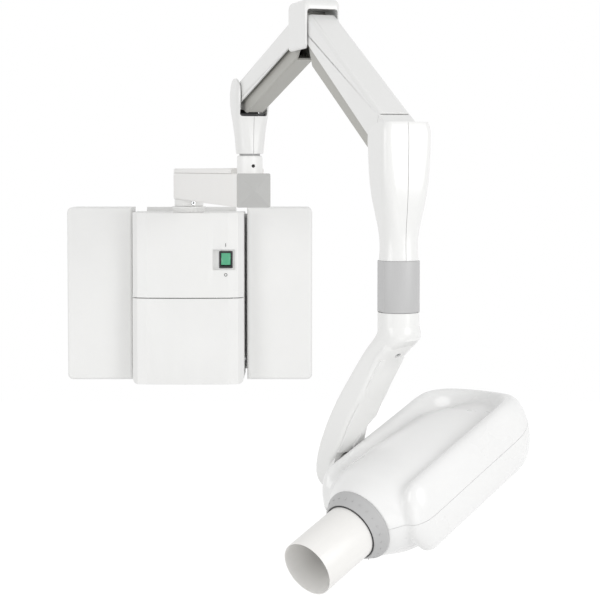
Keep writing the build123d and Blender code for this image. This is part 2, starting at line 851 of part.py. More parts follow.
def tongue(plane, foot_depth):
    """Flat tongue beside the link, with the arm's pin and the link's pin through it."""
    with BuildPart() as blade:
        with BuildSketch(plane.offset(-link_side)):
            with BuildLine():
                Polyline(
                    (link_eye, link_offset),
                    (tongue_half, 0),
                    (tongue_half, -foot_depth),
                    (-tongue_half, -foot_depth),
                    (-tongue_half, 0),
                    (-link_eye, link_offset),
                )
                ThreePointArc((-link_eye, link_offset), (0, link_offset + link_eye), (link_eye, link_offset))
            make_face()
            Circle(pin_diameter / 2 + pin_clear, mode=Mode.SUBTRACT)
            with Locations((0, link_offset)):
                Circle(link_pin_diameter / 2 + pin_clear, mode=Mode.SUBTRACT)
        extrude(amount=-link_width)
    return blade.part


with BuildPart() as lower_yoke_core:
    with BuildSketch(post_section):
        with BuildLine():
            Polyline(
                (0, socket_low + socket_floor),
                (post_diameter / 2, socket_low + socket_floor),
                (post_diameter / 2, washer_top),
                (yoke_core_radius, washer_top),
                (yoke_core_radius, washer_top + yoke_core_rise),
                (0, washer_top + yoke_core_rise),
                close=True,
            )
        make_face()
    revolve(axis=post_axis)
    add(tongue(yoke_side, lower_pivot_rise - yoke_core_rise + eps))
write(lower_yoke_core, "lower_yoke_core")

with BuildPart() as post_washer:
    with BuildSketch(level_plane(post_foot + Vector(0, 0, collar_top + seat_gap), arm_angle)):
        Circle(washer_diameter / 2)
        Circle(post_diameter / 2 + seat_gap, mode=Mode.SUBTRACT)
    extrude(amount=washer_height - seat_gap)
write(post_washer, "post_washer")

with BuildPart() as lower_pivot_pin:
    with BuildSketch(yoke_side):
        Circle(pin_diameter / 2)
    extrude(amount=yoke_pin_half, both=True)
write(lower_pivot_pin, "lower_pivot_pin")

with BuildPart() as lower_link_pin:
    with BuildSketch(yoke_side):
        with Locations((0, link_offset)):
            Circle(link_pin_diameter / 2)
    extrude(amount=link_side + link_width, both=True)
write(lower_link_pin, "lower_link_pin")


# Arm beams: open channels with a rounded, narrower neck at each pin

def arm_beam(plane, span, low, run):
    inner = beam_width - 2 * beam_wall
    top = cover_top - cover_wall - seat_gap
    with BuildPart() as beam:
        with BuildSketch(plane):
            with BuildLine():
                Polyline(
                    (0, -beam_end),
                    (run, -low),
                    (span - run, -low),
                    (span, -beam_end),
                )
                ThreePointArc((span, -beam_end), (span + beam_end, 0), (span, beam_end))
                Polyline(
                    (span, beam_end),
                    (span - neck_length / 2, beam_neck),
                    (span - neck_length, top),
                    (neck_length, top),
                    (neck_length / 2, beam_neck),
                    (0, beam_end),
                )
                ThreePointArc((0, beam_end), (-beam_end, 0), (0, -beam_end))
            make_face()
            with Locations((0, 0), (span, 0)):
                Circle(pin_diameter / 2 + run_clear, mode=Mode.SUBTRACT)
        extrude(amount=beam_width / 2, both=True)
        fillet(beam.edges().filter_by(lambda e: abs(e.length - (span - 2 * run)) < 0.1), radius=2.0)
        # the channel is open on top, and under each neck
        with BuildSketch(plane):
            with Locations((span / 2, beam_wall)):
                Rectangle(span - neck_length - 6, 2 * low)
            with Locations((0, 0), (span, 0)):
                Rectangle(neck_length + 8, 4 * low)
        extrude(amount=inner / 2, both=True, mode=Mode.SUBTRACT)
        # cross pin that the spring bears on
        with BuildSketch(plane):
            with Locations((span - neck_length - spring_pin_back, -spring_drop)):
                Circle(spring_pin)
        extrude(amount=inner / 2 + eps, both=True)
    return beam


lower_arm_plane = upright_plane(lower_pivot, arm_angle, lower_rise)
upper_arm_plane = upright_plane(elbow_front, arm_angle, -upper_fall)
lower_arm_beam = arm_beam(lower_arm_plane, lower_span, lower_beam_low, lower_neck_run)
write(lower_arm_beam, "lower_arm_beam")
upper_arm_beam = arm_beam(upper_arm_plane, upper_span, upper_beam_low, upper_neck_run)
write(upper_arm_beam, "upper_arm_beam")


def arm_cover(plane, outline):
    """White cap over a beam: a moulded channel, open below and at its ends."""
    with BuildPart() as cover:
        with BuildSketch(plane):
            with BuildLine():
                Polyline(*outline, close=True)
            make_face()
        extrude(amount=cover_width / 2, both=True)
        fillet(top_edges(cover, plane), radius=cover_round)
        with BuildSketch(plane):
            with Locations((0, cover_top - cover_wall - 50)):
                Rectangle(2000, 100)
        extrude(amount=cover_width / 2 - cover_wall, both=True, mode=Mode.SUBTRACT)
        # the pin of the yoke passes through both walls
        with BuildSketch(plane):
            Circle(pin_diameter / 2 + part_gap)
        extrude(amount=cover_width, both=True, mode=Mode.SUBTRACT)
    return cover


def top_edges(cover, plane):
    """The two long edges along the top of a cover."""
    long_edges = cover.edges().filter_by(lambda e: e.length > 100)
    return long_edges.sort_by(lambda e: plane.to_local_coords(e.center()).Y)[-2:]


lower_cover_end = lower_span - 2
lower_arm_cover = arm_cover(
    lower_arm_plane,
    [
        (8, cover_top),
        (lower_cover_end, cover_top),
        (lower_cover_end, -lower_skirt),
        (0, -lower_skirt),
        (-6, 6),
    ],
)
write(lower_arm_cover, "lower_arm_cover")

cap_start = upper_span - cap_length
upper_arm_cover = arm_cover(
    upper_arm_plane,
    [
        (2, cover_top),
        (cap_start, cover_top),
        (cap_start, -upper_skirt_end),
        (6, -upper_skirt_start),
        (-4, 6),
        (-7, 20),
    ],
)
write(upper_arm_cover, "upper_arm_cover")

end_round = wrist_above - 1.2
end_wall = 2.0
with BuildPart() as upper_arm_end_cap:
    with BuildSketch(upper_arm_plane):
        with BuildLine():
            a1 = cap_start + part_gap
            far = upper_span + end_round * cos(radians(20))
            far_y = end_round * sin(radians(20))
            Polyline((far, far_y), (far - 4, -upper_skirt_end), (a1, -upper_skirt_end))
            Line((a1, -upper_skirt_end), (a1, end_round))
            Line((a1, end_round), (upper_span, end_round))
            ThreePointArc(
                (upper_span, end_round),
                (upper_span + end_round * cos(radians(55)), end_round * sin(radians(55))),
                (far, far_y),
            )
        make_face()
    extrude(amount=cover_width / 2, both=True)
    with BuildSketch(upper_arm_plane):
        with Locations((upper_span - 20, end_round - end_wall - 50)):
            Rectangle(100, 100)
    extrude(amount=cover_width / 2 - cover_wall, both=True, mode=Mode.SUBTRACT)
    with BuildSketch(upper_arm_plane):
        with Locations((upper_span, 0)):
            Circle(pin_diameter / 2 + part_gap)
    extrude(amount=cover_width, both=True, mode=Mode.SUBTRACT)
write(upper_arm_end_cap, "upper_arm_end_cap")


# Gas springs in the arms

def spring_body(plane, start, end):
    with BuildPart() as spring:
        with BuildSketch(square_plane(plane, start)):
            with Locations((0, -spring_drop)):
                Circle(spring_diameter / 2)
                Circle(rod_diameter / 2 + seat_gap, mode=Mode.SUBTRACT)
        extrude(amount=-(end - start))
    return spring


def spring_rod(plane, start, end):
    with BuildPart() as rod:
        with BuildSketch(square_plane(plane, start)):
            with Locations((0, -spring_drop)):
                Circle(rod_diameter / 2)
        extrude(amount=-(end - start))
        with BuildSketch(plane):
            with Locations((start, -spring_drop)):
                Circle(rod_eye)
                Circle(rod_eye / 2, mode=Mode.SUBTRACT)
        extrude(amount=rod_diameter / 2 - 0.5, both=True)
    return rod


for name, plane, span in (("lower", lower_arm_plane, lower_span), ("upper", upper_arm_plane, upper_span)):
    spring_end = span - neck_length - spring_pin_back - spring_pin - seat_gap
    write(spring_body(plane, spring_start, spring_end), f"{name}_spring")
    write(spring_rod(plane, rod_start, spring_end - rod_in_body), f"{name}_spring_rod")


# Parallel links that keep the elbow and the wrist upright

def parallel_link(origin, rise, span):
    start = origin + Vector(0, 0, link_offset)
    plane = upright_plane(start, arm_angle, rise)
    with BuildPart() as link:
        with BuildSketch(plane.offset(link_side)):
            with Locations((span / 2, 0)):
                Rectangle(span, link_height)
            with Locations((0, 0), (span, 0)):
                Circle(link_eye)
                Circle(link_pin_diameter / 2 + run_clear, mode=Mode.SUBTRACT)
        extrude(amount=link_width)
    return link


lower_link = parallel_link(lower_pivot, lower_rise, lower_span)
write(lower_link, "lower_link")
upper_link = parallel_link(elbow_front, -upper_fall, upper_span)
write(upper_link, "upper_link")


# Elbow: bracket, four pins and a hood

elbow_side = upright_plane(elbow_rear, arm_angle)
half_pitch = elbow_pitch / 2
web_top = hood_roof - 2 * seat_gap
with BuildPart() as elbow_bracket:
    for low, thickness in ((elbow_plate_in, elbow_plate), (-elbow_plate_in - elbow_plate, elbow_plate)):
        with BuildSketch(elbow_side.offset(low)):
            with Locations((half_pitch, 0)):
                SlotCenterToCenter(elbow_pitch, 2 * beam_end)
        extrude(amount=thickness)
    plate_out = elbow_plate_in + elbow_plate
    with BuildSketch(elbow_side):
        with Locations((half_pitch, (bridge_low + bridge_high) / 2)):
            Rectangle(2 * bridge_half, bridge_high - bridge_low)
    extrude(amount=plate_out, both=True)
    with BuildSketch(elbow_side):
        # a web up to the hood's roof
        with Locations((half_pitch - bridge_half / 2, (bridge_high + web_top) / 2)):
            Rectangle(bridge_half, web_top - bridge_high)
    extrude(amount=plate_out, both=True)
    with BuildSketch(elbow_side.offset(-link_side)):
        with Locations((half_pitch, (link_plate_high + link_plate_low) / 2)):
            RectangleRounded(elbow_pitch + 2 * tongue_half, link_plate_high - link_plate_low, tongue_half)
    extrude(amount=-link_width)
    with BuildSketch(elbow_side):
        with Locations((0, 0), (elbow_pitch, 0)):
            Circle(pin_diameter / 2 + pin_clear)
        with Locations((0, link_offset), (elbow_pitch, link_offset)):
            Circle(link_pin_diameter / 2 + pin_clear)
    extrude(amount=30, both=True, mode=Mode.SUBTRACT)
write(elbow_bracket, "elbow_bracket")

with BuildPart() as elbow_pins:
    with BuildSketch(elbow_side):
        with Locations((0, 0), (elbow_pitch, 0)):
            Circle(pin_diameter / 2)
    extrude(amount=plate_out, both=True)
    with BuildSketch(elbow_side):
        with Locations((0, link_offset), (elbow_pitch, link_offset)):
            Circle(link_pin_diameter / 2)
    extrude(amount=link_side + link_width, both=True)
write(elbow_pins, "elbow_pins")

with BuildPart() as elbow_hood:
    with BuildSketch(elbow_side):
        with Locations((half_pitch, (hood_above - hood_below) / 2)):
            Rectangle(hood_length, hood_above + hood_below)
        tops = vertices().group_by(Axis.Y)[-1]
        fillet(tops, radius=hood_round)
        fillet(vertices().group_by(Axis.Y)[0], radius=hood_edge)
    extrude(amount=hood_width / 2, both=True)
    crest = elbow_hood.edges().filter_by(GeomType.LINE).filter_by(
        lambda e: abs(e.length - (hood_length - 2 * hood_round)) < 0.1
    )
    fillet(crest, radius=hood_edge)
    with BuildSketch(square_plane(elbow_side, half_pitch)):
        with Locations((0, hood_roof - 50)):
            Rectangle(slot_width - 0.5, 100)
        fillet(vertices().group_by(Axis.Y)[-1], radius=slot_corner)
    extrude(amount=hood_length, both=True, mode=Mode.SUBTRACT)
write(elbow_hood, "elbow_hood")


# Wrist: two halves round a core, over the column

wrist_side = upright_plane(wrist_pivot, arm_angle)
wrist_top = wrist_pivot.Z + wrist_above
slot_floor = wrist_pivot.Z - wrist_slot_below
wrist_form = rounded_loft(
    column_foot,
    arm_angle,
    [
        (sleeve_top + seat_gap, column_radius, column_radius, column_radius - 2),
        (170.0, 22.2, 22.2, 18.0),
        (190.0, 25.0, 25.0, 16.0),
        (215.0, 27.8, 27.3, 13.0),
        (245.0, wrist_half - 0.3, wrist_depth - 0.5, 10.0),
        (263.0, wrist_half, wrist_depth, 9.0),
        (280.0, wrist_half - 0.6, wrist_depth - 0.8, 9.0),
        (wrist_top, wrist_half - 2.2, wrist_depth - 2.5, 9.0),
    ],
)
front_wall = wrist_depth - wrist_front_wall
slot_belly = (front_wall * 0.72, -wrist_slot_below * 0.69)
with BuildPart() as wrist_body:
    add(wrist_form)
    with BuildSketch(wrist_side):
        with BuildLine():
            Polyline(
                (front_wall, 0),
                (front_wall, 60),
                (-60, 60),
                (-60, -wrist_slot_below),
                (0, -wrist_slot_below),
            )
            ThreePointArc((0, -wrist_slot_below), slot_belly, (front_wall, 0))
        make_face()
    extrude(amount=slot_width / 2, both=True, mode=Mode.SUBTRACT)
    # the ears fall off towards the rear
    with BuildSketch(wrist_side):
        with BuildLine():
            Polyline(
                (-wrist_depth, ear_rear_rise),
                (-60, ear_rear_rise),
                (-60, 60),
                (ear_fall_start, 60),
                (ear_fall_start, wrist_above),
            )
            ThreePointArc((ear_fall_start, wrist_above), ear_fall_middle, (-wrist_depth, ear_rear_rise))
        make_face()
    extrude(amount=wrist_half + eps, both=True, mode=Mode.SUBTRACT)
    with BuildSketch(Plane.XY.offset(sleeve_top)):
        with Locations((column_foot.X, column_foot.Y)):
            Circle(column_tube + seat_gap)
    extrude(amount=slot_floor + 3 * eps - sleeve_top, mode=Mode.SUBTRACT)
    with BuildSketch(wrist_side):
        Circle(pin_diameter / 2 + pin_clear)
    extrude(amount=yoke_pin_half + seat_gap, both=True, mode=Mode.SUBTRACT)

with BuildPart() as wrist_half_left:
    add(half_of(wrist_body.part, wrist_side, 1))
write(wrist_half_left, "wrist_half_left")
with BuildPart() as wrist_half_right:
    add(half_of(wrist_body.part, wrist_side, -1))
write(wrist_half_right, "wrist_half_right")

with BuildPart() as wrist_core:
    with BuildSketch(Plane.XY.offset(sleeve_bottom + part_gap)):
        with Locations((column_foot.X, column_foot.Y)):
            Circle(column_tube)
    extrude(amount=slot_floor - seat_gap - sleeve_bottom - part_gap)
    with BuildSketch(Plane.XY.offset(sleeve_bottom)):
        with Locations((column_foot.X, column_foot.Y)):
            Circle(spindle_radius + run_clear)
    extrude(amount=spindle_top + 2 - sleeve_bottom, mode=Mode.SUBTRACT)
    add(tongue(wrist_side, wrist_slot_below + eps))
write(wrist_core, "wrist_core")

with BuildPart() as wrist_pin:
    with BuildSketch(wrist_side):
        Circle(pin_diameter / 2)
    extrude(amount=yoke_pin_half, both=True)
write(wrist_pin, "wrist_pin")

with BuildPart() as wrist_link_pin:
    with BuildSketch(wrist_side):
        with Locations((0, link_offset)):
            Circle(link_pin_diameter / 2)
    extrude(amount=link_side + link_width, both=True)
write(wrist_link_pin, "wrist_link_pin")

with BuildPart() as column_sleeve:
    with BuildSketch(level_plane(column_foot + Vector(0, 0, sleeve_bottom + part_gap), arm_angle)):
        Circle(sleeve_radius)
        Rectangle(4 * sleeve_radius, 2 * sleeve_flat, mode=Mode.INTERSECT)
        Circle(column_tube + seat_gap, mode=Mode.SUBTRACT)
    extrude(amount=sleeve_top - sleeve_bottom - part_gap)
    rims = column_sleeve.edges().group_by(Axis.Z)
    chamfer(rims[0] + rims[-1], length=0.3)
write(column_sleeve, "column_sleeve")


# Head yoke: a curved arm from the column down to the head's side
# Its upright plane holds the column's axis: reach runs from that axis, away from the head.

yoke_swing = heading(yoke_angle - 90)
beam_dir = heading(yoke_angle) * cos(radians(beam_drop)) - Vector(0, 0, sin(radians(beam_drop)))
across = yoke_swing * -1
head_up = beam_dir.cross(across)
beam_point = tilt_centre + across * head_aside - head_up * head_drop


def beam_square(along):
    """Plane square to the beam: x away from the yoke, y up."""
    return Plane(origin=beam_point + beam_dir * along, x_dir=across, z_dir=beam_dir)


def yoke_section_plane(reach, height, lean):
    """Plane square to the yoke's line: x across its thickness, away from the head."""
    out = yoke_swing * cos(radians(lean)) + Vector(0, 0, sin(radians(lean)))
    down = yoke_swing * sin(radians(lean)) - Vector(0, 0, cos(radians(lean)))
    return Plane(origin=column_foot + yoke_swing * reach + Vector(0, 0, height), x_dir=out, z_dir=down)


# reach, height, lean, half thickness, half width, corner radius
yoke_stations = [
    (0.0, 60.0, 0.0, 23.2, 23.2, 22.8),
    (6.0, 41.0, 18.0, 17.3, 23.4, 13.0),
    (19.4, 28.0, 30.0, 12.5, 23.8, 8.0),
    (33.3, 6.8, 32.0, 13.0, 24.3, 6.0),
    (60.6, -37.4, 29.0, 14.3, 25.0, 5.0),
    (72.7, -60.4, 26.0, 14.6, 25.4, 5.0),
    (84.5, -86.0, 17.0, 13.6, 25.8, 5.0),
    (tilt_reach + yoke_thickness / 2, tilt_height, 3.0, yoke_thickness / 2, yoke_half_width, 5.0),
]
tilt_plane = Plane(origin=tilt_centre, x_dir=(0, 0, 1), z_dir=yoke_swing)


def cover_form(grow):
    """The smooth cover on the yoke's inner face, or the recess for it when grown."""
    with BuildPart() as form:
        for reach, height, lean, half_thick, half_wide, corner in yoke_stations[2:-1]:
            with BuildSketch(yoke_section_plane(reach, height, lean)):
                face = -half_thick + cover_sunk + grow
                wide = half_wide - cover_margin + grow
                edge = -half_thick - cover_edge
                with BuildLine():
                    Polyline((edge, -wide), (face, -wide), (face, wide), (edge, wide))
                    ThreePointArc((edge, wide), (-half_thick - cover_crown, 0), (edge, -wide))
                make_face()
        loft()
    return form.part


def head_relief(form):
    """Clears a form of the head's section over the whole downward tilt."""
    with BuildPart() as swept:
        with BuildSketch(beam_square(band_front)):
            with Locations((-band_line, band_shift)):
                Ellipse(band_half + relief_gap, band_rise + relief_gap)
            Ellipse(egg_half + relief_gap, egg_rise + relief_gap)
        extrude(amount=band_rear - band_front)
    for step in range(1, int(tilt_down / relief_step) + 1):
        form -= swept.part.rotate(Axis(tilt_centre, across), step * relief_step)
    return form


with BuildPart() as yoke_inner_cover:
    add(head_relief(cover_form(0)))
    with BuildSketch(tilt_plane.offset(tilt_reach)):
        Circle(hub_radius + 2 * part_gap)
    extrude(amount=-spot_depth, mode=Mode.SUBTRACT)
write(yoke_inner_cover, "yoke_inner_cover")

with BuildPart() as head_yoke:
    for reach, height, lean, half_thick, half_wide, corner in yoke_stations:
        with BuildSketch(yoke_section_plane(reach, height, lean)):
            RectangleRounded(2 * half_thick, 2 * half_wide, corner)
    loft()
    with BuildSketch(tilt_plane.offset(tilt_reach)):
        Circle(yoke_half_width)
    extrude(amount=yoke_thickness)
    outer_rim = head_yoke.edges().filter_by(GeomType.CIRCLE).sort_by(Axis(column_foot, yoke_swing))[-1]
    fillet(outer_rim, radius=4.0)
    with BuildSketch(Plane.XY.offset(collar_low)):
        with Locations((column_foot.X, column_foot.Y)):
            Circle(sleeve_radius - 0.3)
    extrude(amount=sleeve_bottom - collar_low)
    with BuildSketch(Plane.XY.offset(sleeve_bottom - eps)):
        with Locations((column_foot.X, column_foot.Y)):
            Circle(spindle_radius)
    extrude(amount=spindle_top - sleeve_bottom + eps)
    add(cover_form(seat_gap), mode=Mode.SUBTRACT)
    # machined face round the tilt axis
    with BuildSketch(tilt_plane.offset(tilt_reach)):
        Circle(hub_radius + 2 * part_gap)
    extrude(amount=-spot_depth, mode=Mode.SUBTRACT)
    with BuildSketch(tilt_plane.offset(tilt_reach - spot_in)):
        Circle(tilt_shaft / 2 + run_clear)
    extrude(amount=spot_in + shaft_depth + part_gap, mode=Mode.SUBTRACT)
yoke_with_relief = head_relief(head_yoke.part)
with BuildPart() as head_yoke:
    add(yoke_with_relief)
write(head_yoke, "head_yoke")

with BuildPart() as yoke_screw:
    with BuildSketch(tilt_plane.offset(tilt_reach + yoke_thickness)):
        Circle(yoke_screw_radius)
        RegularPolygon(yoke_screw_key, 6, mode=Mode.SUBTRACT)
    extrude(amount=yoke_screw_head)
write(yoke_screw, "yoke_screw")


# Tube head: its middle line is the beam's axis, beside and below the tilt axis

def egg_face(wide, top, low):
    """Egg-shaped face made of four quarter ellipses."""
    with BuildSketch() as face:
        with BuildLine():
            EllipticalCenterArc((0, 0), wide, top, start_angle=0, arc_size=90)
            EllipticalCenterArc((0, 0), wide, top, start_angle=90, arc_size=90)
            EllipticalCenterArc((0, 0), wide, low, start_angle=180, arc_size=90)
            EllipticalCenterArc((0, 0), wide, low, start_angle=270, arc_size=90)
        make_face()
    return face.sketch


def band_plane(along, turn):
    """Plane square to the band's line: x outwards, y up, turned round the rear bend."""
    out = across * cos(radians(turn)) - beam_dir * sin(radians(turn))
    return Plane(origin=beam_point + beam_dir * along, x_dir=out, z_dir=out.cross(head_up))


def band_form():
    """Horseshoe band round the head: rounded front ends, and a rear bend that is lower on top."""
    side = [(band_front + run, share) for run, share in reversed(tip_sections)]
    side += [(band_front + (band_rear - band_front) * part / 5, 1.0) for part in range(1, 5)]
    stations = [(along, 0, share) for along, share in side]
    stations += [(band_rear, turn, 1.0) for turn in range(0, 181, 30)]
    stations += [(along, 180, share) for along, share in reversed(side)]
    with BuildPart() as form:
        for along, turn, share in stations:
            top = band_rise - band_rear_fall * sin(radians(turn)) ** 2
            with BuildSketch(band_plane(along, turn)):
                with Locations((band_line, band_shift)):
                    add(egg_face(share * band_half, share * top, share * band_rise))
        loft()
    return form.part


def head_form():
    """The head's outer form: an egg inside a horseshoe band."""
    with BuildPart() as form:
        for along, wide, top, low in head_stations:
            add(beam_square(along) * egg_face(wide, top, low))
        loft()
        add(band_form())
    return form.part


# distance from the straight part and share of the full section
tip_sections = [(0.0, 1.0), (10.0, 0.91), (18.0, 0.66), (23.0, 0.3)]
# start, end and half width of each chamber
chambers = [(-94.0, -80.0, 56.0), (-72.0, 30.0, 58.0), (38.0, 56.0, 48.0)]

# distance along the beam, half width, height above and below the beam's axis
head_stations = [
    (head_front, 41.0, 41.0, 41.0),
    (70.8, 52.0, 50.0, 40.5),
    (53.8, 62.0, 60.0, 43.0),
    (33.8, 67.0, egg_rise, 48.0),
    (3.8, egg_half, 60.0, 55.0),
    (-56.0, 68.0, 54.0, 52.0),
    (-106.0, 62.0, 46.0, 46.0),
    (-134.0, 48.0, 36.0, 41.0),
    (-161.0, 26.0, 29.0, 35.0),
]

with BuildPart() as head_shell:
    add(head_form())
    # three chambers with a saddle ring between each two, which carries the tank
    for start, end, wide in chambers:
        with BuildSketch(beam_square(start)):
            Ellipse(wide, chamber_half)
        extrude(amount=end - start, mode=Mode.SUBTRACT)
    with BuildSketch(beam_square(-tank_rear - seat_gap)):
        Circle(tank_radius + seat_gap)
    extrude(amount=tank_front + tank_rear + seat_gap + eps, mode=Mode.SUBTRACT)
    with BuildSketch(beam_square(tank_front)):
        Circle(cone_outer + seat_gap)
    extrude(amount=40, mode=Mode.SUBTRACT)
    # bore for the tilt hub
    with BuildSketch(tilt_plane.offset(hub_inner - hub_seat_in)):
        Circle(hub_radius + seat_gap)
    extrude(amount=tilt_reach, mode=Mode.SUBTRACT)

parting_plane = Plane(origin=beam_point, x_dir=beam_dir, z_dir=head_up)
with BuildPart() as head_upper_shell:
    add(half_of(head_shell.part, parting_plane, 1))
write(head_upper_shell, "head_upper_shell")
with BuildPart() as head_lower_shell:
    add(half_of(head_shell.part, parting_plane, -1))
write(head_lower_shell, "head_lower_shell")

with BuildPart() as tilt_hub:
    with BuildSketch(tilt_plane.offset(hub_inner)):
        Circle(hub_radius)
    extrude(amount=tilt_reach - part_gap - hub_inner)
    with BuildSketch(tilt_plane.offset(tilt_reach - part_gap - eps)):
        Circle(tilt_shaft / 2)
    extrude(amount=shaft_depth + part_gap + eps)
write(tilt_hub, "tilt_hub")

with BuildPart() as tube_tank:
    with BuildSketch(beam_square(-tank_rear)):
        Circle(tank_radius)
    extrude(amount=tank_rear + tank_front)
    with BuildSketch(tilt_plane.offset(tank_boss_start)):
        Circle(hub_radius - tank_wall)
    extrude(amount=hub_inner - seat_gap - tank_boss_start)
    with BuildSketch(beam_square(-tank_rear + tank_wall)):
        Circle(tank_radius - tank_wall)
    extrude(amount=tank_rear + tank_front - 2 * tank_wall, mode=Mode.SUBTRACT)
    with BuildSketch(beam_square(tank_front - tank_wall - eps)):
        Circle(window_radius)
    extrude(amount=tank_wall + 2 * eps, mode=Mode.SUBTRACT)
write(tube_tank, "tube_tank")

beam_profile = Plane(origin=beam_point, x_dir=beam_dir, z_dir=across)
beam_line = Axis(beam_point, beam_dir)
flange = tank_radius - tank_wall - seat_gap
with BuildPart() as xray_tube:
    with BuildSketch(beam_profile):
        with BuildLine():
            Polyline((-58, 0), (-58, flange), (-53, flange), (-53, tube_neck), (-22, tube_neck))
            ThreePointArc((-22, tube_neck), (-10, tube_bulb), (2, tube_neck))
            Polyline(
                (2, tube_neck),
                (24, tube_neck),
                (24, flange),
                (29, flange),
                (29, 0),
                (-58, 0),
            )
        make_face()
    revolve(axis=beam_line)
write(xray_tube, "xray_tube")

with BuildPart() as cone_ring:
    with BuildSketch(beam_profile):
        with BuildLine():
            bore = cone_outer + seat_gap
            back = head_front + seat_gap
            front = back + ring_length
            Polyline(
                (back, bore),
                (back, ring_big),
                (back + ring_rim, ring_big),
                (front - 2.5, ring_small),
                (front, ring_small - 1.5),
                (front, bore),
                close=True,
            )
        make_face()
    revolve(axis=beam_line)
write(cone_ring, "cone_ring")

with BuildPart() as beam_cone:
    with BuildSketch(beam_square(tank_front + seat_gap)):
        Circle(cone_outer)
        Circle(cone_inner, mode=Mode.SUBTRACT)
    extrude(amount=cone_end - tank_front - seat_gap)
write(beam_cone, "beam_cone")
print("beam point", beam_point, "direction", beam_dir, "across", across, "up", head_up)
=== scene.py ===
import json
from math import cos, pi, radians, sin

import bpy
from mathutils import Matrix, Vector

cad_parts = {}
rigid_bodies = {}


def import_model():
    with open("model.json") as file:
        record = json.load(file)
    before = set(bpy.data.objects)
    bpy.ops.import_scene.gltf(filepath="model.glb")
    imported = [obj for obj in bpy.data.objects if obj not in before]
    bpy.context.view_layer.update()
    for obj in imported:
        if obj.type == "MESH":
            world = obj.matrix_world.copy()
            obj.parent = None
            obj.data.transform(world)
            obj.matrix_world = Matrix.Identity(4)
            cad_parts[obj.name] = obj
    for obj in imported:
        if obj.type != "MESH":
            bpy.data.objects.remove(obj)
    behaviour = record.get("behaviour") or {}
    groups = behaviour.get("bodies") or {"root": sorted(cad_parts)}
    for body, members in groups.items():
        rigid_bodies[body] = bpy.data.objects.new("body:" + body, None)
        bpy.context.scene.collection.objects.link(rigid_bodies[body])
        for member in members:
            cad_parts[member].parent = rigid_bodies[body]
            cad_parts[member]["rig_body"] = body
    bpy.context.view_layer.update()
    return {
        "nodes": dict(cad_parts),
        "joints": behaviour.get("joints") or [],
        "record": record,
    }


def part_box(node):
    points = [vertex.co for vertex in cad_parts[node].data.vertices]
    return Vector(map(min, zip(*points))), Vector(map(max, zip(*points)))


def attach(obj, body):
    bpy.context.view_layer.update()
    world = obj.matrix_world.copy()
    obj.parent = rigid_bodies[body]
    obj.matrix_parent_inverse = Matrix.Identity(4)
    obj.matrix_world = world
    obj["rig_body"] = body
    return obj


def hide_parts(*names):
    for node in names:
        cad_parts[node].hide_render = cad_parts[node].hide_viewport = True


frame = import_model()
nodes = frame["nodes"]
print("frame loaded:", len(nodes), "nodes")

# wall-mounted dental x-ray unit; the plans hold metres and degrees
scene = bpy.context.scene
scene.view_settings.view_transform = "Standard"

# the eye is a little above the controller and looks almost level
cameraPlan = {
    "place": (0.209, -2.900, 0.234),
    "lens": 90.0,
    "sensor": 36.0,
    "pitchDown": 2.67,
    "shiftY": -0.100,
}


def addCamera(plan):
    bpy.ops.object.camera_add(location=plan["place"], rotation=(radians(90 - plan["pitchDown"]), 0, 0))
    camera = bpy.context.object
    camera.name = "photoCamera"
    camera.data.lens = plan["lens"]
    camera.data.sensor_width = plan["sensor"]
    camera.data.shift_y = plan["shiftY"]
    scene.camera = camera


addCamera(cameraPlan)


def feed(tree, socket, value):
    # another node's output is linked, a plain value is set on the socket
    if isinstance(value, bpy.types.NodeSocket):
        tree.links.new(value, socket)
    else:
        socket.default_value = value


def mathNode(tree, operation, first, second, clamp=False):
    node = tree.nodes.new("ShaderNodeMath")
    node.operation = operation
    node.use_clamp = clamp
    feed(tree, node.inputs[0], first)
    feed(tree, node.inputs[1], second)
    return node.outputs[0]


def grey(level):
    return (level, level, level, 1)


def showDirectly(tree, lighting, shown, out):
    # one shader lights the unit, the other is what the eye, metal and glass see
    path = tree.nodes.new("ShaderNodeLightPath").outputs
    seen = mathNode(tree, "MAXIMUM", path["Is Camera Ray"], path["Is Glossy Ray"])
    seen = mathNode(tree, "MAXIMUM", seen, path["Is Transmission Ray"])
    mix = tree.nodes.new("ShaderNodeMixShader")
    for socket, source in zip(mix.inputs, (seen, lighting.outputs[0], shown.outputs[0])):
        tree.links.new(source, socket)
    tree.links.new(mix.outputs[0], out.inputs[0])


# white surroundings to look at, softer light on the unit itself
lightPlan = {
    "world": 0.72,
    "aim": (0.2, -0.7, 0.1),
    # place, size and power of each lamp
    "lamps": {
        "keyLamp": ((2.4, -3.0, 0.7), 1.9, 32.0),
        "fillLamp": ((-2.2, -2.8, 0.6), 1.8, 22.0),
        "lowLamp": ((0.6, -2.8, -0.9), 1.2, 3.0),
    },
}


def lightWorld(strength):
    world = bpy.data.worlds.new("studioWorld")
    scene.world = world
    world.use_nodes = True
    tree = world.node_tree
    tree.nodes.clear()
    out = tree.nodes.new("ShaderNodeOutputWorld")
    soft = tree.nodes.new("ShaderNodeBackground")
    bright = tree.nodes.new("ShaderNodeBackground")
    for sky, power in ((soft, strength), (bright, 1.0)):
        sky.inputs["Color"].default_value = grey(1)
        sky.inputs["Strength"].default_value = power
    showDirectly(tree, soft, bright, out)


def areaLamp(name, aim, place, size, power):
    bpy.ops.object.light_add(type="AREA", location=place)
    lamp = bpy.context.object
    lamp.name = name
    lamp.data.shape = "DISK"
    lamp.data.size = size
    lamp.data.energy = power
    way = Vector(aim) - Vector(place)
    lamp.rotation_euler = way.to_track_quat("-Z", "Y").to_euler()


lightWorld(lightPlan["world"])
for lampName, lampValues in lightPlan["lamps"].items():
    areaLamp(lampName, lightPlan["aim"], *lampValues)

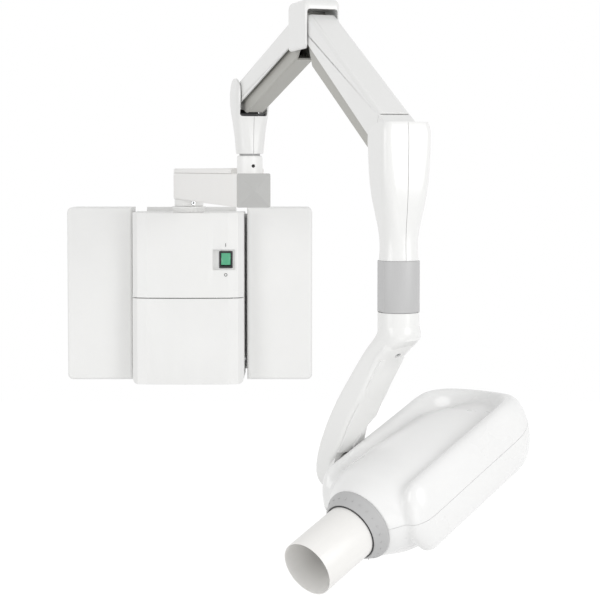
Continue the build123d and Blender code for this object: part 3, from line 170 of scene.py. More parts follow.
floorPlan = {
    "size": 14,
    "middle": (0.2, -1.0, -1.15),
    "matt": 0.8,
    "glow": 0.95,
    "shade": 0.16,
}


def addFloor(plan):
    bpy.ops.mesh.primitive_plane_add(size=plan["size"], location=plan["middle"])
    floor = bpy.context.object
    floor.name = "studioFloor"
    paint = bpy.data.materials.new("floorWhite")
    paint.use_nodes = True
    tree = paint.node_tree
    tree.nodes.clear()
    out = tree.nodes.new("ShaderNodeOutputMaterial")
    matt = tree.nodes.new("ShaderNodeBsdfDiffuse")
    matt.inputs["Color"].default_value = grey(plan["matt"])
    # what is seen: a white glow, and a little matt grey on top that takes the unit's shadow
    glow = tree.nodes.new("ShaderNodeEmission")
    glow.inputs["Color"].default_value = grey(plan["glow"])
    shade = tree.nodes.new("ShaderNodeBsdfDiffuse")
    shade.inputs["Color"].default_value = grey(plan["shade"])
    lit = tree.nodes.new("ShaderNodeAddShader")
    tree.links.new(glow.outputs[0], lit.inputs[0])
    tree.links.new(shade.outputs[0], lit.inputs[1])
    showDirectly(tree, matt, lit, out)
    floor.data.materials.append(paint)


addFloor(floorPlan)
print("camera, lights and floor placed")


# shared effects: each group gives only masks and heights

def newGroup(name, inputs, outputs):
    # inputs: label, kind of socket and starting value; outputs: labels of plain numbers
    group = bpy.data.node_groups.new(name, "ShaderNodeTree")
    for label, kind, value in inputs:
        socket = group.interface.new_socket(name=label, in_out="INPUT", socket_type=kind)
        if value is not None:
            socket.default_value = value
    for label in outputs:
        group.interface.new_socket(name=label, in_out="OUTPUT", socket_type="NodeSocketFloat")
    start = group.nodes.new("NodeGroupInput").outputs
    end = group.nodes.new("NodeGroupOutput").inputs
    return group, start, end


def noiseNode(tree, vector, size, detail, rough):
    node = tree.nodes.new("ShaderNodeTexNoise")
    node.inputs["Detail"].default_value = detail
    node.inputs["Roughness"].default_value = rough
    feed(tree, node.inputs["Scale"], size)
    feed(tree, node.inputs["Vector"], vector)
    return node.outputs["Fac"]


def makeGrainGroup(pitShare):
    # pebbled skin of a moulding or a powder coat, as a height and a mottling mask
    group, start, end = newGroup(
        "mouldedGrain",
        [
            ("Vector", "NodeSocketVector", None),
            ("Size", "NodeSocketFloat", 900.0),
            ("Mottle", "NodeSocketFloat", 9.0),
        ],
        ["Height", "Mottling"],
    )
    fine = noiseNode(group, start["Vector"], start["Size"], detail=2.0, rough=0.5)
    pits = group.nodes.new("ShaderNodeTexVoronoi")
    pits.feature = "SMOOTH_F1"
    group.links.new(start["Vector"], pits.inputs["Vector"])
    group.links.new(start["Size"], pits.inputs["Scale"])
    pitHeight = mathNode(group, "MULTIPLY", pits.outputs["Distance"], pitShare)
    group.links.new(mathNode(group, "ADD", fine, pitHeight), end["Height"])
    broad = noiseNode(group, start["Vector"], start["Mottle"], detail=4.0, rough=0.6)
    group.links.new(broad, end["Mottling"])
    return group


wearPlan = {
    "outerFrom": 0.53,
    "innerFrom": 0.47,
    "sharpness": 9.0,
    "patches": 60.0,
}


def makeWearGroup(plan):
    # rubbed outer edges, and dust that gathers in the inner corners
    group, start, end = newGroup(
        "edgeWear",
        [("Vector", "NodeSocketVector", None), ("Amount", "NodeSocketFloat", 0.4)],
        ["Edges", "Corners"],
    )
    point = group.nodes.new("ShaderNodeNewGeometry").outputs["Pointiness"]
    patches = noiseNode(group, start["Vector"], plan["patches"], detail=5.0, rough=0.7)
    outer = mathNode(group, "SUBTRACT", point, plan["outerFrom"], True)
    inner = mathNode(group, "SUBTRACT", plan["innerFrom"], point, True)
    for label, past in (("Edges", outer), ("Corners", inner)):
        mask = mathNode(group, "MULTIPLY", past, plan["sharpness"], True)
        broken = mathNode(group, "MULTIPLY", mask, patches)
        group.links.new(mathNode(group, "MULTIPLY", broken, start["Amount"], True), end[label])
    return group


def makeBrushGroup(stretch):
    # fine lathe or brush lines on bare metal
    group, start, end = newGroup(
        "brushLines",
        [("Vector", "NodeSocketVector", None), ("Size", "NodeSocketFloat", 400.0)],
        ["Lines"],
    )
    mapping = group.nodes.new("ShaderNodeMapping")
    mapping.inputs["Scale"].default_value = (1.0, 1.0, stretch)
    group.links.new(start["Vector"], mapping.inputs["Vector"])
    lines = noiseNode(group, mapping.outputs["Vector"], start["Size"], detail=2.0, rough=0.6)
    group.links.new(lines, end["Lines"])
    return group


grainGroup = makeGrainGroup(pitShare=0.6)
wearGroup = makeWearGroup(wearPlan)
brushGroup = makeBrushGroup(stretch=14.0)


def placeGroup(tree, group, vector, **values):
    node = tree.nodes.new("ShaderNodeGroup")
    node.node_tree = group
    tree.links.new(vector, node.inputs["Vector"])
    for label, value in values.items():
        node.inputs[label].default_value = value
    return node.outputs


def mixColour(tree, mask, first, second):
    node = tree.nodes.new("ShaderNodeMix")
    node.data_type = "RGBA"
    slots = [socket for socket in node.inputs if socket.type == "RGBA"]
    for socket, value in zip(slots, (first, second)):
        feed(tree, socket, (*value, 1) if isinstance(value, tuple) else value)
    tree.links.new(mask, node.inputs[0])
    return next(socket for socket in node.outputs if socket.type == "RGBA")


def spread(tree, mask, low, high):
    node = tree.nodes.new("ShaderNodeMapRange")
    node.inputs["To Min"].default_value = low
    node.inputs["To Max"].default_value = high
    tree.links.new(mask, node.inputs["Value"])
    return node.outputs["Result"]


def shiftColour(colour, gain, lift=0.0):
    return tuple(min(1.0, max(0.0, part * gain + lift)) for part in colour)


# what all the painted and metal finishes share
skinPlan = {
    "glossShift": 0.12,
    "lineGloss": 0.08,
    "rubbedGain": 1.12,
    "rubbedLift": 0.02,
    "coatRoughness": 0.12,
}


def surface(name, colour, rough=0.4, metal=0.0, grain=900.0, grainDepth=0.00002, mottle=9.0, shift=0.03,
            wear=0.3, wornColour=None, dustColour=(0.55, 0.54, 0.52), coat=0.0, brushed=0.0):
    paint = bpy.data.materials.new(name)
    paint.use_nodes = True
    tree = paint.node_tree
    tree.nodes.clear()
    out = tree.nodes.new("ShaderNodeOutputMaterial")
    shader = tree.nodes.new("ShaderNodeBsdfPrincipled")
    tree.links.new(shader.outputs[0], out.inputs[0])
    place = tree.nodes.new("ShaderNodeTexCoord").outputs["Object"]
    skin = placeGroup(tree, grainGroup, place, Size=grain, Mottle=mottle)
    rub = placeGroup(tree, wearGroup, place, Amount=wear)
    body = mixColour(tree, skin["Mottling"], shiftColour(colour, 1 - shift), shiftColour(colour, 1 + shift))
    rubbed = wornColour or shiftColour(colour, skinPlan["rubbedGain"], skinPlan["rubbedLift"])
    body = mixColour(tree, rub["Edges"], body, rubbed)
    body = mixColour(tree, rub["Corners"], body, dustColour)
    tree.links.new(body, shader.inputs["Base Color"])
    change = skinPlan["glossShift"]
    gloss = spread(tree, skin["Mottling"], rough * (1 - change), rough * (1 + change))
    height = skin["Height"]
    if brushed:
        lines = placeGroup(tree, brushGroup, place, Size=brushed)["Lines"]
        height = mathNode(tree, "ADD", height, lines)
        gloss = mathNode(tree, "ADD", gloss, mathNode(tree, "MULTIPLY", lines, skinPlan["lineGloss"]))
    tree.links.new(gloss, shader.inputs["Roughness"])
    shader.inputs["Metallic"].default_value = metal
    shader.inputs["Coat Weight"].default_value = coat
    shader.inputs["Coat Roughness"].default_value = skinPlan["coatRoughness"]
    bump = tree.nodes.new("ShaderNodeBump")
    bump.inputs["Strength"].default_value = 1.0
    bump.inputs["Distance"].default_value = grainDepth
    tree.links.new(height, bump.inputs["Height"])
    tree.links.new(bump.outputs["Normal"], shader.inputs["Normal"])
    return paint


finishPlan = {
    "panelWhite": dict(colour=(0.84, 0.84, 0.83), rough=0.46, grain=1400, grainDepth=0.00006, wear=0.15),
    "armWhite": dict(colour=(0.80, 0.80, 0.79), rough=0.30, grain=500, grainDepth=0.00001, coat=0.25,
                     wear=0.12),
    "headWhite": dict(colour=(0.82, 0.82, 0.815), rough=0.28, grain=400, grainDepth=0.00001, coat=0.3,
                      wear=0.0),
    "mastWhite": dict(colour=(0.85, 0.84, 0.82), rough=0.36, grain=700, grainDepth=0.00003, wear=0.25),
    "collarGrey": dict(colour=(0.85, 0.85, 0.84), rough=0.38, grain=700, grainDepth=0.00003),
    "sleeveGrey": dict(colour=(0.49, 0.49, 0.49), rough=0.42, grain=1200, grainDepth=0.00004),
    "capGrey": dict(colour=(0.47, 0.47, 0.46), rough=0.5, grain=1200, grainDepth=0.00005),
    "ringGrey": dict(colour=(0.46, 0.46, 0.46), rough=0.45, grain=1200, grainDepth=0.00004),
    "beamGrey": dict(colour=(0.42, 0.415, 0.385), rough=0.42, grain=900, grainDepth=0.00004, wear=0.5),
    "coneWhite": dict(colour=(0.83, 0.82, 0.80), rough=0.38, grain=900, grainDepth=0.00003),
    "blackPlastic": dict(colour=(0.02, 0.02, 0.022), rough=0.4, grain=1200, grainDepth=0.00004,
                         dustColour=(0.12, 0.12, 0.12)),
    "printGrey": dict(colour=(0.10, 0.10, 0.10), rough=0.55, grain=2000),
    "rockerGreen": dict(colour=(0.08, 0.40, 0.22), rough=0.2, grain=300, coat=0.4, shift=0.12),
    "machinedSteel": dict(colour=(0.56, 0.57, 0.58), rough=0.28, metal=1.0, brushed=500, wear=0.4),
    "hardChrome": dict(colour=(0.66, 0.67, 0.68), rough=0.1, metal=1.0, brushed=900, grainDepth=0.00001),
    "bushBronze": dict(colour=(0.52, 0.36, 0.16), rough=0.35, metal=1.0, brushed=600, shift=0.1),
    "springBlack": dict(colour=(0.03, 0.03, 0.032), rough=0.3, grain=500, wear=0.8,
                        wornColour=(0.3, 0.3, 0.3)),
    "castAluminium": dict(colour=(0.58, 0.58, 0.57), rough=0.42, metal=1.0, grainDepth=0.00008, shift=0.08),
    "boardGreen": dict(colour=(0.03, 0.16, 0.07), rough=0.3, grain=200, mottle=60, shift=0.25),
    "coilVarnish": dict(colour=(0.16, 0.11, 0.07), rough=0.35, grain=300, mottle=40, shift=0.3),
    "tankEnamel": dict(colour=(0.22, 0.24, 0.25), rough=0.4, grain=600, wear=0.6),
}

glassPlan = {
    "grain": 300.0,
    "mottle": 30.0,
    "deep": (0.86, 0.9, 0.9),
    "clear": (0.96, 0.97, 0.97),
    "roughness": (0.03, 0.09),
    "transmission": 0.9,
}


def glass(name, plan):
    paint = bpy.data.materials.new(name)
    paint.use_nodes = True
    tree = paint.node_tree
    shader = tree.nodes["Principled BSDF"]
    place = tree.nodes.new("ShaderNodeTexCoord").outputs["Object"]
    skin = placeGroup(tree, grainGroup, place, Size=plan["grain"], Mottle=plan["mottle"])
    tint = mixColour(tree, skin["Mottling"], plan["deep"], plan["clear"])
    tree.links.new(tint, shader.inputs["Base Color"])
    tree.links.new(spread(tree, skin["Mottling"], *plan["roughness"]), shader.inputs["Roughness"])
    shader.inputs["Transmission Weight"].default_value = plan["transmission"]
    return paint


finishes = {name: surface(name, **recipe) for name, recipe in finishPlan.items()}
finishes["tubeGlass"] = glass("tubeGlass", glassPlan)
print("finishes mixed:", len(finishes))

nodeFinish = {
    "panelWhite": [
        "wall_plate", "left_wing_cover", "right_wing_cover", "main_cover_upper", "main_cover_lower",
    ],
    "armWhite": [
        "lower_yoke_left", "lower_yoke_right", "lower_arm_cover", "upper_arm_cover", "upper_arm_end_cap",
        "elbow_hood", "wrist_half_left", "wrist_half_right", "head_yoke", "yoke_inner_cover",
    ],
    "headWhite": ["head_upper_shell", "head_lower_shell"],
    "mastWhite": ["mast_tube", "mast_top_cover"],
    "collarGrey": ["post_collar", "mast_hub", "pivot_flange", "bearing_bracket", "chassis_tray"],
    "sleeveGrey": ["column_sleeve", "terminal_block", "post_washer"],
    "capGrey": ["mast_end_cap", "mast_rear_cap"],
    "ringGrey": ["cone_ring"],
    "beamGrey": ["lower_arm_beam", "upper_arm_beam", "elbow_bracket"],
    "coneWhite": ["beam_cone"],
    "blackPlastic": ["switch_bezel", "collar_screw", "lower_yoke_core"],
    "rockerGreen": ["switch_rocker"],
    "machinedSteel": [
        "hub_screws", "lower_pivot_pin", "lower_link_pin",
        "elbow_pins", "wrist_pin", "wrist_link_pin", "yoke_screw", "cover_screws",
    ],
    "hardChrome": ["lower_spring_rod", "upper_spring_rod"],
    "bushBronze": ["pivot_bushes"],
    "springBlack": ["lower_spring", "upper_spring", "lower_link", "upper_link"],
    "castAluminium": ["wrist_core", "tilt_hub"],
    "boardGreen": ["circuit_board"],
    "coilVarnish": ["power_transformer"],
    "tankEnamel": ["tube_tank"],
    "tubeGlass": ["xray_tube"],
}

for finishName, nodeNames in nodeFinish.items():
    for nodeName in nodeNames:
        paints = nodes[nodeName].data.materials
        paints.clear()
        paints.append(finishes[finishName])
print("CAD nodes dressed")


def deselectAll():
    for item in bpy.context.view_layer.objects:
        item.select_set(False)


def pick(*items):
    # only these are selected, and the first one is active
    deselectAll()
    for item in items:
        item.select_set(True)
    bpy.context.view_layer.objects.active = items[0]


def applyPlace(*items):
    pick(*items)
    bpy.ops.object.transform_apply(location=True, rotation=True, scale=True)


def applyModifiers(item):
    pick(item)
    for modifier in list(item.modifiers):
        bpy.ops.object.modifier_apply(modifier=modifier.name)


def joinAll(name, items):
    applyPlace(*items)
    bpy.ops.object.join()
    items[0].name = name
    return items[0]


def cutWith(item, cutter):
    cut = item.modifiers.new("cut", "BOOLEAN")
    cut.operation = "DIFFERENCE"
    cut.solver = "EXACT"
    cut.object = cutter
    applyModifiers(item)
    bpy.data.objects.remove(cutter)


def softenEdges(item, width, segments):
    soft = item.modifiers.new("softEdges", "BEVEL")
    soft.width = width
    soft.segments = segments
    applyModifiers(item)


def smoothShade(item, creaseAngle):
    pick(item)
    bpy.ops.object.shade_smooth_by_angle(angle=radians(creaseAngle))


def settle(item, finish, nodeName, ownFrame=None):
    # a piece modelled in a frame of its own is moved there, then its place goes into its mesh
    applyPlace(item)
    if ownFrame is not None:
        item.matrix_world = ownFrame
        applyPlace(item)
    item.data.materials.clear()
    item.data.materials.append(finishes[finish])
    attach(item, nodes[nodeName]["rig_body"])


# places on the object, all from the frame
joints = {joint["name"]: joint for joint in frame["joints"]}
mounts = {mount["name"]: mount for mount in frame["record"]["mounts"]}
tiltPoint = Vector(joints["head_tilt"]["pos_m"])
columnPoint = Vector(joints["column_swivel"]["pos_m"])
liftPoint = Vector(joints["lower_arm_lift"]["pos_m"])
liftAxis = joints["lower_arm_lift"]["axis"]
armDir = Vector((-liftAxis[1], liftAxis[0], 0)).normalized()
coneMouth = Vector(mounts["cone_mouth"]["pos_m"])
beamDir = Vector(mounts["cone_mouth"]["axis"]).normalized()
acrossDir = Vector(joints["head_tilt"]["axis"]).normalized()
headUp = beamDir.cross(acrossDir)
upward = Vector((0, 0, 1))

# sides of the ovals that the pieces start from, and how near two points may be before they are one
ovalSides = 64
mergeReach = 0.00002

# the tube head, shaped in its own frame: x along the beam, y across it, z up
beamPoint = coneMouth + beamDir * (tiltPoint - coneMouth).dot(beamDir)
headFrame = Matrix((beamDir, acrossDir, headUp)).transposed().to_4x4()
headFrame.translation = beamPoint
shellPoints = nodes["head_upper_shell"].data.vertices
headFront = max(point.co.dot(beamDir) for point in shellPoints) - beamPoint.dot(beamDir)

headPlan = {
    # distance along the beam, half width, height above and below the beam's axis
    "body": [
        (0.0708, 0.052, 0.046, 0.046),
        (0.0538, 0.061, 0.050, 0.054),
        (0.0338, 0.067, 0.051, 0.059),
        (0.0038, 0.070, 0.049, 0.059),
        (-0.056, 0.068, 0.043, 0.053),
        (-0.100, 0.066, 0.0392, 0.047),
        (-0.120, 0.063, 0.0335, 0.044),
        (-0.139, 0.058, 0.0255, 0.040),
        (-0.161, 0.048, 0.0190, 0.035),
        (-0.182, 0.026, 0.0130, 0.028),
    ],
    "mouth": 0.041,
    # the horseshoe band round the body: its line beside the beam, its oval, and where its sides end
    "bandLine": 0.0585,
    "bandHalf": 0.0165,
    "bandRise": 0.0435,
    "bandDrop": 0.002,
    "bandFront": 0.0438,
    "bandRear": -0.1242,
    # the bend behind the body gets lower by this much, with this height held
    "rearFall": 0.024,
    "rearFallFrom": -0.0245,
    "bendSteps": 9,
    "mirrorReach": 0.0002,
    # distance and share of the oval at the band's round nose
    "noseTip": [(0.023, 0.3), (0.018, 0.66), (0.010, 0.91)],
    "voxel": 0.0018,
    "smoothRounds": 34,
    "smoothFactor": 0.5,
    "keptAtRing": 0.006,
    "fadeAtRing": 0.016,
    "seam": 0.0004,
    "creaseAngle": 40,
    # start, end, half width and half height of the room round the tank, with ribs left between
    "hollows": [(-0.094, -0.080, 0.050, 0.031), (-0.072, 0.030, 0.056, 0.035), (0.038, 0.056, 0.046, 0.035)],
    # start, end and radius of the bores
    "tankBore": (-0.0982, 0.0620, 0.0342),
    "coneBore": (0.0600, 0.0900, 0.0312),
    "hubBore": (0.0250, 0.0800, 0.0202),
}


def ovalStart(name, place, wide, high):
    bpy.ops.mesh.primitive_circle_add(
        vertices=ovalSides, radius=1, fill_type="NGON", location=(0, 0, 0), rotation=(0, pi / 2, 0))
    item = bpy.context.object
    item.name = name
    applyPlace(item)
    bpy.ops.object.mode_set(mode="EDIT")
    bpy.ops.mesh.select_all(action="SELECT")
    bpy.ops.transform.resize(value=(1, wide, high), center_override=(0, 0, 0))
    bpy.ops.transform.translate(value=place)
    return item


def ovalNext(before, after):
    # before and after: place, half width and half height of a section
    step = Vector(after[0]) - Vector(before[0])
    bpy.ops.mesh.extrude_region_move(TRANSFORM_OT_translate={"value": step})
    bpy.ops.transform.resize(
        value=(1, after[1] / before[1], after[2] / before[2]), center_override=after[0])


def ovalForm(name, sections):
    # stays in edit mode, with the last oval selected
    item = ovalStart(name, *sections[0])
    for before, after in zip(sections, sections[1:]):
        ovalNext(before, after)
    return item


def closeForm():
    bpy.ops.mesh.select_all(action="SELECT")
    bpy.ops.mesh.remove_doubles(threshold=mergeReach)
    bpy.ops.mesh.normals_make_consistent(inside=False)
    bpy.ops.object.mode_set(mode="OBJECT")


def headBody(plan):
    # from the ring's seat to the rounded rear end, section by section
    sections = [((headFront, 0, 0), plan["mouth"], plan["mouth"])]
    for along, wide, top, low in plan["body"]:
        sections.append(((along, 0, (top - low) / 2), wide, (top + low) / 2))
    item = ovalForm("headBody", sections)
    closeForm()
    return item


def headBand(plan):
    # one side of the band with its round nose and half of the rear bend, then mirrored
    line = plan["bandLine"]
    level = -plan["bandDrop"]
    sections = [
        ((plan["bandFront"] + along, line, level), plan["bandHalf"] * share, plan["bandRise"] * share)
        for along, share in plan["noseTip"] + [(0.0, 1.0)]
    ]
    sections.append(((plan["bandRear"], line, level), plan["bandHalf"], plan["bandRise"]))
    item = ovalForm("headBand", sections)
    turn = pi / 2 / plan["bendSteps"]
    fullHeight = plan["bandRise"] * 2
    height = fullHeight
    for step in range(1, plan["bendSteps"] + 1):
        bpy.ops.mesh.extrude_region_move(TRANSFORM_OT_translate={"value": (0, 0, 0)})
        bpy.ops.transform.rotate(
            value=-turn, orient_axis="Z", orient_type="GLOBAL", center_override=(plan["bandRear"], 0, 0))
        nextHeight = fullHeight - plan["rearFall"] * sin(turn * step) ** 2
        held = (plan["bandRear"], 0, plan["rearFallFrom"])
        bpy.ops.transform.resize(value=(1, 1, nextHeight / height), center_override=held)
        height = nextHeight
    bpy.ops.mesh.delete(type="ONLY_FACE")
    closeForm()
    mirror = item.modifiers.new("otherSide", "MIRROR")
    mirror.use_axis = (False, True, False)
    mirror.merge_threshold = plan["mirrorReach"]
    applyModifiers(item)
    return item


def smoothHead(plan):
    whole = joinAll("headForm", [headBody(plan), headBand(plan)])
    remesh = whole.modifiers.new("evenSkin", "REMESH")
    remesh.mode = "VOXEL"
    remesh.voxel_size = plan["voxel"]
    applyModifiers(whole)
    # the seat of the ring keeps its shape, and the smoothing sets in behind it
    soft = whole.vertex_groups.new(name="soft")
    for vertex in whole.data.vertices:
        behind = headFront - vertex.co.x
        share = (behind - plan["keptAtRing"]) / plan["fadeAtRing"]
        soft.add([vertex.index], min(1.0, max(0.0, share)), "REPLACE")
    ease = whole.modifiers.new("easedSkin", "SMOOTH")
    ease.factor = plan["smoothFactor"]
    ease.iterations = plan["smoothRounds"]
    ease.vertex_group = "soft"
    applyModifiers(whole)
    return whole


def cutBore(whole, start, end, wide, high, turn=(0, pi / 2, 0), middle=(0, 0, 0)):
    # an oval bore along the beam, or turned and placed otherwise
    bpy.ops.mesh.primitive_cylinder_add(vertices=ovalSides, radius=1, depth=1)
    cutter = bpy.context.object
    cutter.scale = (high, wide, end - start)
    cutter.rotation_euler = turn
    way = Vector((0, 0, 1))
    way.rotate(cutter.rotation_euler)
    cutter.location = Vector(middle) + way * (start + end) / 2
    applyPlace(cutter)
    cutWith(whole, cutter)


def hollowHead(whole, plan):
    for start, end, wide, high in plan["hollows"]:
        cutBore(whole, start, end, wide, high)
    for start, end, radius in (plan["tankBore"], plan["coneBore"]):
        cutBore(whole, start, end, radius, radius)
    # the hub enters from the yoke's side, square to the beam
    start, end, radius = plan["hubBore"]
    hub = tiltPoint - beamPoint
    middle = (0, hub.dot(acrossDir), hub.dot(headUp))
    cutBore(whole, start, end, radius, radius, (pi / 2, 0, 0), middle)


def cutHalf(whole, name, side, plan):
    half = whole.copy()
    half.data = whole.data.copy()
    half.name = name
    scene.collection.objects.link(half)
    pick(half)
    bpy.ops.object.mode_set(mode="EDIT")
    bpy.ops.mesh.select_all(action="SELECT")
    bpy.ops.mesh.bisect(
        plane_co=(0, 0, side * plan["seam"] / 2), plane_no=(0, 0, side),
        use_fill=True, clear_inner=True, clear_outer=False)
    bpy.ops.object.mode_set(mode="OBJECT")
    smoothShade(half, plan["creaseAngle"])
    return half


headForm = smoothHead(headPlan)
hollowHead(headForm, headPlan)
for pieceName, nodeName, side in (
    ("headUpper", "head_upper_shell", 1),
    ("headLower", "head_lower_shell", -1),
):
    shell = cutHalf(headForm, pieceName, side, headPlan)
    settle(shell, "headWhite", nodeName, headFrame)
    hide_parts(nodeName)
bpy.data.objects.remove(headForm)
print("head shells smoothed and cut")


# the yoke's neck: an inner panel that ends in an arch below the column, with its screw
neckPlan = {
    # reach and height of the yoke's line, lean, half thickness, half width,
    # how far the oval's middle is inside the face and how deep the oval is
    "stations": [
        (0.0022, 0.0520, 9, 0.0208, 0.0060, 0.0150, 0.0148),
        (0.0026, 0.0512, 10, 0.0206, 0.0130, 0.0150, 0.0152),
        (0.0034, 0.0490, 11, 0.0200, 0.0185, 0.0150, 0.0156),
        (0.0042, 0.0465, 13, 0.0194, 0.0220, 0.0150, 0.0158),
        (0.0060, 0.0410, 18, 0.0173, 0.0234, 0.0110, 0.0126),
        (0.0120, 0.0350, 24, 0.0149, 0.0239, 0.0080, 0.0106),
        (0.0194, 0.0280, 30, 0.0125, 0.0242, 0.0056, 0.0093),
        (0.0270, 0.0170, 31, 0.0127, 0.0243, 0.0048, 0.0086),
        (0.0333, 0.0068, 32, 0.0130, 0.0243, 0.0044, 0.0082),
        (0.0420, -0.0070, 31, 0.0134, 0.0243, 0.0044, 0.0080),
        (0.0500, -0.0200, 30, 0.0138, 0.0241, 0.0050, 0.0076),
        (0.0560, -0.0300, 30, 0.0141, 0.0236, 0.0060, 0.0070),
    ],
    # a point in front of the screw's place on the panel
    "screwAim": (0.08, -0.0030, 0.0262),
    "screwSides": 40,
    "holeRadius": 0.0038,
    "screwDepth": 0.0035,
    # shares of the hole's radius and of the screw's depth
    "headShare": 0.9,
    "sunkShare": 0.95,
    "rimShare": 0.35,
    "socketShare": 0.5,
    "creaseAngle": 35,
}
neckFrame = Matrix((acrossDir, upward.cross(acrossDir), upward)).transposed().to_4x4()
neckFrame.translation = (columnPoint.x, columnPoint.y, 0)


def bridgeRings(name, rings):
    # rings: place, turn about y, half depth and half width of an oval; bridged in their order
    made = []
    for place, turn, deep, wide in rings:
        bpy.ops.mesh.primitive_circle_add(vertices=ovalSides, radius=1, location=place, rotation=(0, turn, 0))
        ring = bpy.context.object
        ring.scale = (deep, wide, 1)
        made.append(ring)
    item = joinAll(name, made)
    bpy.ops.object.mode_set(mode="EDIT")
    bpy.ops.mesh.select_all(action="SELECT")
    bpy.ops.mesh.bridge_edge_loops(type="SINGLE")
    bpy.ops.mesh.select_all(action="DESELECT")
    bpy.ops.mesh.select_non_manifold()
    bpy.ops.mesh.fill_holes(sides=0)
    closeForm()
    return item


def neckPanel(plan):
    rings = []
    for reach, height, lean, half, wide, inside, deep in plan["stations"]:
        slope = radians(lean)
        out = half - inside
        place = (-reach + cos(slope) * out, 0, height - sin(slope) * out)
        rings.append((place, slope, deep, wide))
    return bridgeRings("neckPanel", rings)


def neckScrew(panel, plan):
    # a socket screw sunk in the panel below the column
    place, normal = panel.ray_cast(Vector(plan["screwAim"]), Vector((-1, 0, 0)))[1:3]
    turn = normal.to_track_quat("Z", "Y").to_euler()
    radius, depth = plan["holeRadius"], plan["screwDepth"]
    bpy.ops.mesh.primitive_cylinder_add(
        vertices=plan["screwSides"], radius=radius, depth=depth * 2, location=place, rotation=turn)
    cutWith(panel, bpy.context.object)
    bpy.ops.mesh.primitive_cylinder_add(
        vertices=plan["screwSides"], radius=radius * plan["headShare"], depth=depth,
        location=place - normal * depth * plan["sunkShare"], rotation=turn)
    screw = bpy.context.object
    screw.name = "neckScrew"
    bpy.ops.object.mode_set(mode="EDIT")
    bpy.ops.mesh.select_all(action="DESELECT")
    bpy.ops.object.mode_set(mode="OBJECT")
    top = max(screw.data.polygons, key=lambda face: face.center.z)
    top.select = True
    bpy.ops.object.mode_set(mode="EDIT")
    bpy.ops.mesh.select_mode(type="FACE")
    bpy.ops.mesh.inset(thickness=radius * plan["rimShare"])
    socket = -normal * depth * plan["socketShare"]
    bpy.ops.mesh.extrude_region_move(TRANSFORM_OT_translate={"value": socket})
    bpy.ops.object.mode_set(mode="OBJECT")
    return screw


yokePanel = neckPanel(neckPlan)
yokeScrew = neckScrew(yokePanel, neckPlan)
for piece, finishName in ((yokePanel, "armWhite"), (yokeScrew, "machinedSteel")):
    smoothShade(piece, neckPlan["creaseAngle"])
    settle(piece, finishName, "head_yoke", neckFrame)
print("yoke neck panel and screw made")


# black sheets that paint the shade in the slot of the lower yoke: lips at its front and inside, a plate at
# its rear
slotShadePlan = {
    "floorBelowPivot": 0.0228,
    "width": 0.0396,
    "thickness": 0.0012,
    "edge": 0.0004,
    # distance from the pivot along the arm, and height above the slot's floor
    "pieces": {
        "frontLip": (0.0200, 0.0009),
        "innerLip": (0.0130, 0.0036),
        "rearPlate": (-0.0215, 0.0110),
    },
}


def slotShadeSheet(name, along, rise, plan):
    place = liftPoint + armDir * along
    place.z = liftPoint.z - plan["floorBelowPivot"] + rise / 2
    turn = armDir.to_2d().angle_signed(Vector((1, 0)))
    bpy.ops.mesh.primitive_cube_add(size=1, location=place, rotation=(0, 0, turn))
    darkSheet = bpy.context.object
    darkSheet.name = name
    darkSheet.scale = (plan["thickness"], plan["width"], rise)
    bpy.ops.object.transform_apply(location=False, rotation=False, scale=True)
    softenEdges(darkSheet, plan["edge"], segments=3)
    # black finish: painted shade inside the slot
    settle(darkSheet, "blackPlastic", "lower_yoke_left")


for sheetName, (along, rise) in slotShadePlan["pieces"].items():
    slotShadeSheet(sheetName, along, rise, slotShadePlan)
print("slot lining made")


# the ring at the cone: its groove and the raised marks round it
ringPlan = {
    "length": 0.0163,
    "backRadius": 0.0410,
    "frontRadius": 0.0350,
    "rim": 0.0030,
    "grooveRadius": 0.0318,
    "grooveDepth": 0.0009,
    "marks": 24,
    "longMarkEvery": 6,
    "markSize": (0.0030, 0.0008, 0.0006),
    "markEdge": 0.0002,
}


def ringMarks(plan):
    # the marks stand half way along the ring's slope, and every sixth is twice as long
    made = []
    long, wide, high = plan["markSize"]
    middle = (plan["rim"] + plan["length"]) / 2
    radius = (plan["backRadius"] + plan["frontRadius"]) / 2
    slope = (plan["backRadius"] - plan["frontRadius"]) / (plan["length"] - plan["rim"])
    for step in range(plan["marks"]):
        turn = 2 * pi * step / plan["marks"]
        place = (headFront + middle, -sin(turn) * radius, cos(turn) * radius)
        bpy.ops.mesh.primitive_cube_add(size=1, location=place, rotation=(turn, slope, 0))
        mark = bpy.context.object
        mark.scale = (long / 2 if step % plan["longMarkEvery"] else long, wide, high)
        made.append(mark)
    marks = joinAll("ringMarks", made)
    softenEdges(marks, plan["markEdge"], segments=2)
    return marks


def ringGroove(plan):
    bpy.ops.mesh.primitive_torus_add(
        location=(headFront + plan["length"], 0, 0), rotation=(0, pi / 2, 0),
        major_radius=plan["grooveRadius"], minor_radius=plan["grooveDepth"],
        major_segments=96, minor_segments=12)
    groove = bpy.context.object
    groove.name = "coneGroove"
    bpy.ops.object.shade_smooth()
    return groove


for piece, finishName in ((ringMarks(ringPlan), "sleeveGrey"), (ringGroove(ringPlan), "blackPlastic")):
    settle(piece, finishName, "cone_ring", headFrame)
print("ring marks and groove made")


# thin marks above and below the power switch, just clear of the cover's face
markPlan = {
    "height": 0.006,
    "stroke": 0.0011,
    "thickness": 0.00016,
    "raised": 0.0005,
    # heights above the middle of the switch
    "onRise": 0.0275,
    "offRise": -0.0280,
}


def markPlace(rise, plan):
    # on the upper cover's face, above or below the middle of the switch
    low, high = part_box("switch_bezel")
    middle = (low + high) / 2
    inFront = Vector((middle.x, -1, middle.z + rise))
    face = nodes["main_cover_upper"].ray_cast(inFront, Vector((0, 1, 0)))[1]
    return face - Vector((0, plan["raised"], 0))


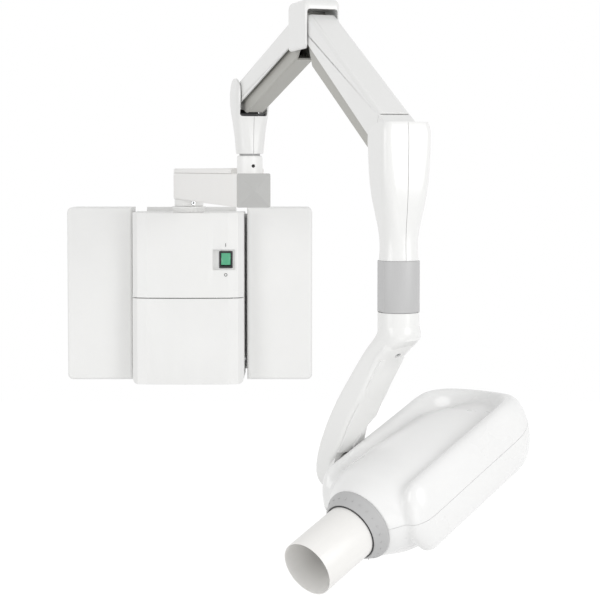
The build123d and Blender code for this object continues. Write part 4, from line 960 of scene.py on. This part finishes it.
def onMark(plan):
    bpy.ops.mesh.primitive_cube_add(size=1, location=markPlace(plan["onRise"], plan))
    mark = bpy.context.object
    mark.name = "onMark"
    mark.scale = (plan["stroke"], plan["thickness"], plan["height"])
    bpy.ops.object.transform_apply(location=False, rotation=False, scale=True)
    softenEdges(mark, plan["thickness"] / 3, segments=2)
    return mark


def offMark(plan):
    bpy.ops.mesh.primitive_torus_add(
        location=markPlace(plan["offRise"], plan), rotation=(pi / 2, 0, 0),
        major_radius=(plan["height"] - plan["stroke"]) / 2, minor_radius=plan["stroke"] / 2,
        major_segments=40, minor_segments=10)
    mark = bpy.context.object
    mark.name = "offMark"
    bpy.ops.object.transform_apply(location=False, rotation=True, scale=False)
    mark.scale = (1, plan["thickness"] / plan["stroke"], 1)
    return mark


for mark in (onMark(markPlan), offMark(markPlan)):
    settle(mark, "printGrey", "main_cover_upper")
print("switch marks printed")


# CAD nodes whose hard edges catch the light
edgePlan = {
    "segments": 2,
    "sharperThan": 38,
    "widths": {
        "wall_plate": 0.0006,
        "main_cover_lower": 0.0011,
        "main_cover_upper": 0.0009,
        "mast_tube": 0.0004,
        "mast_end_cap": 0.0006,
        "mast_top_cover": 0.0006,
        "switch_bezel": 0.0004,
        "switch_rocker": 0.0003,
        "upper_arm_cover": 0.0008,
        "upper_arm_end_cap": 0.0009,
        "lower_arm_cover": 0.0008,
        "lower_arm_beam": 0.0006,
        "upper_arm_beam": 0.0006,
        "elbow_bracket": 0.0005,
        "column_sleeve": 0.0004,
        "beam_cone": 0.0004,
    },
}

for nodeName, width in edgePlan["widths"].items():
    weld = nodes[nodeName].modifiers.new("weld", "WELD")
    weld.merge_threshold = mergeReach
    bevel = nodes[nodeName].modifiers.new("brokenEdges", "BEVEL")
    bevel.width = width
    bevel.segments = edgePlan["segments"]
    bevel.limit_method = "ANGLE"
    bevel.angle_limit = radians(edgePlan["sharperThan"])
    bevel.harden_normals = True
print("edges broken on", len(edgePlan["widths"]), "nodes")

deselectAll()
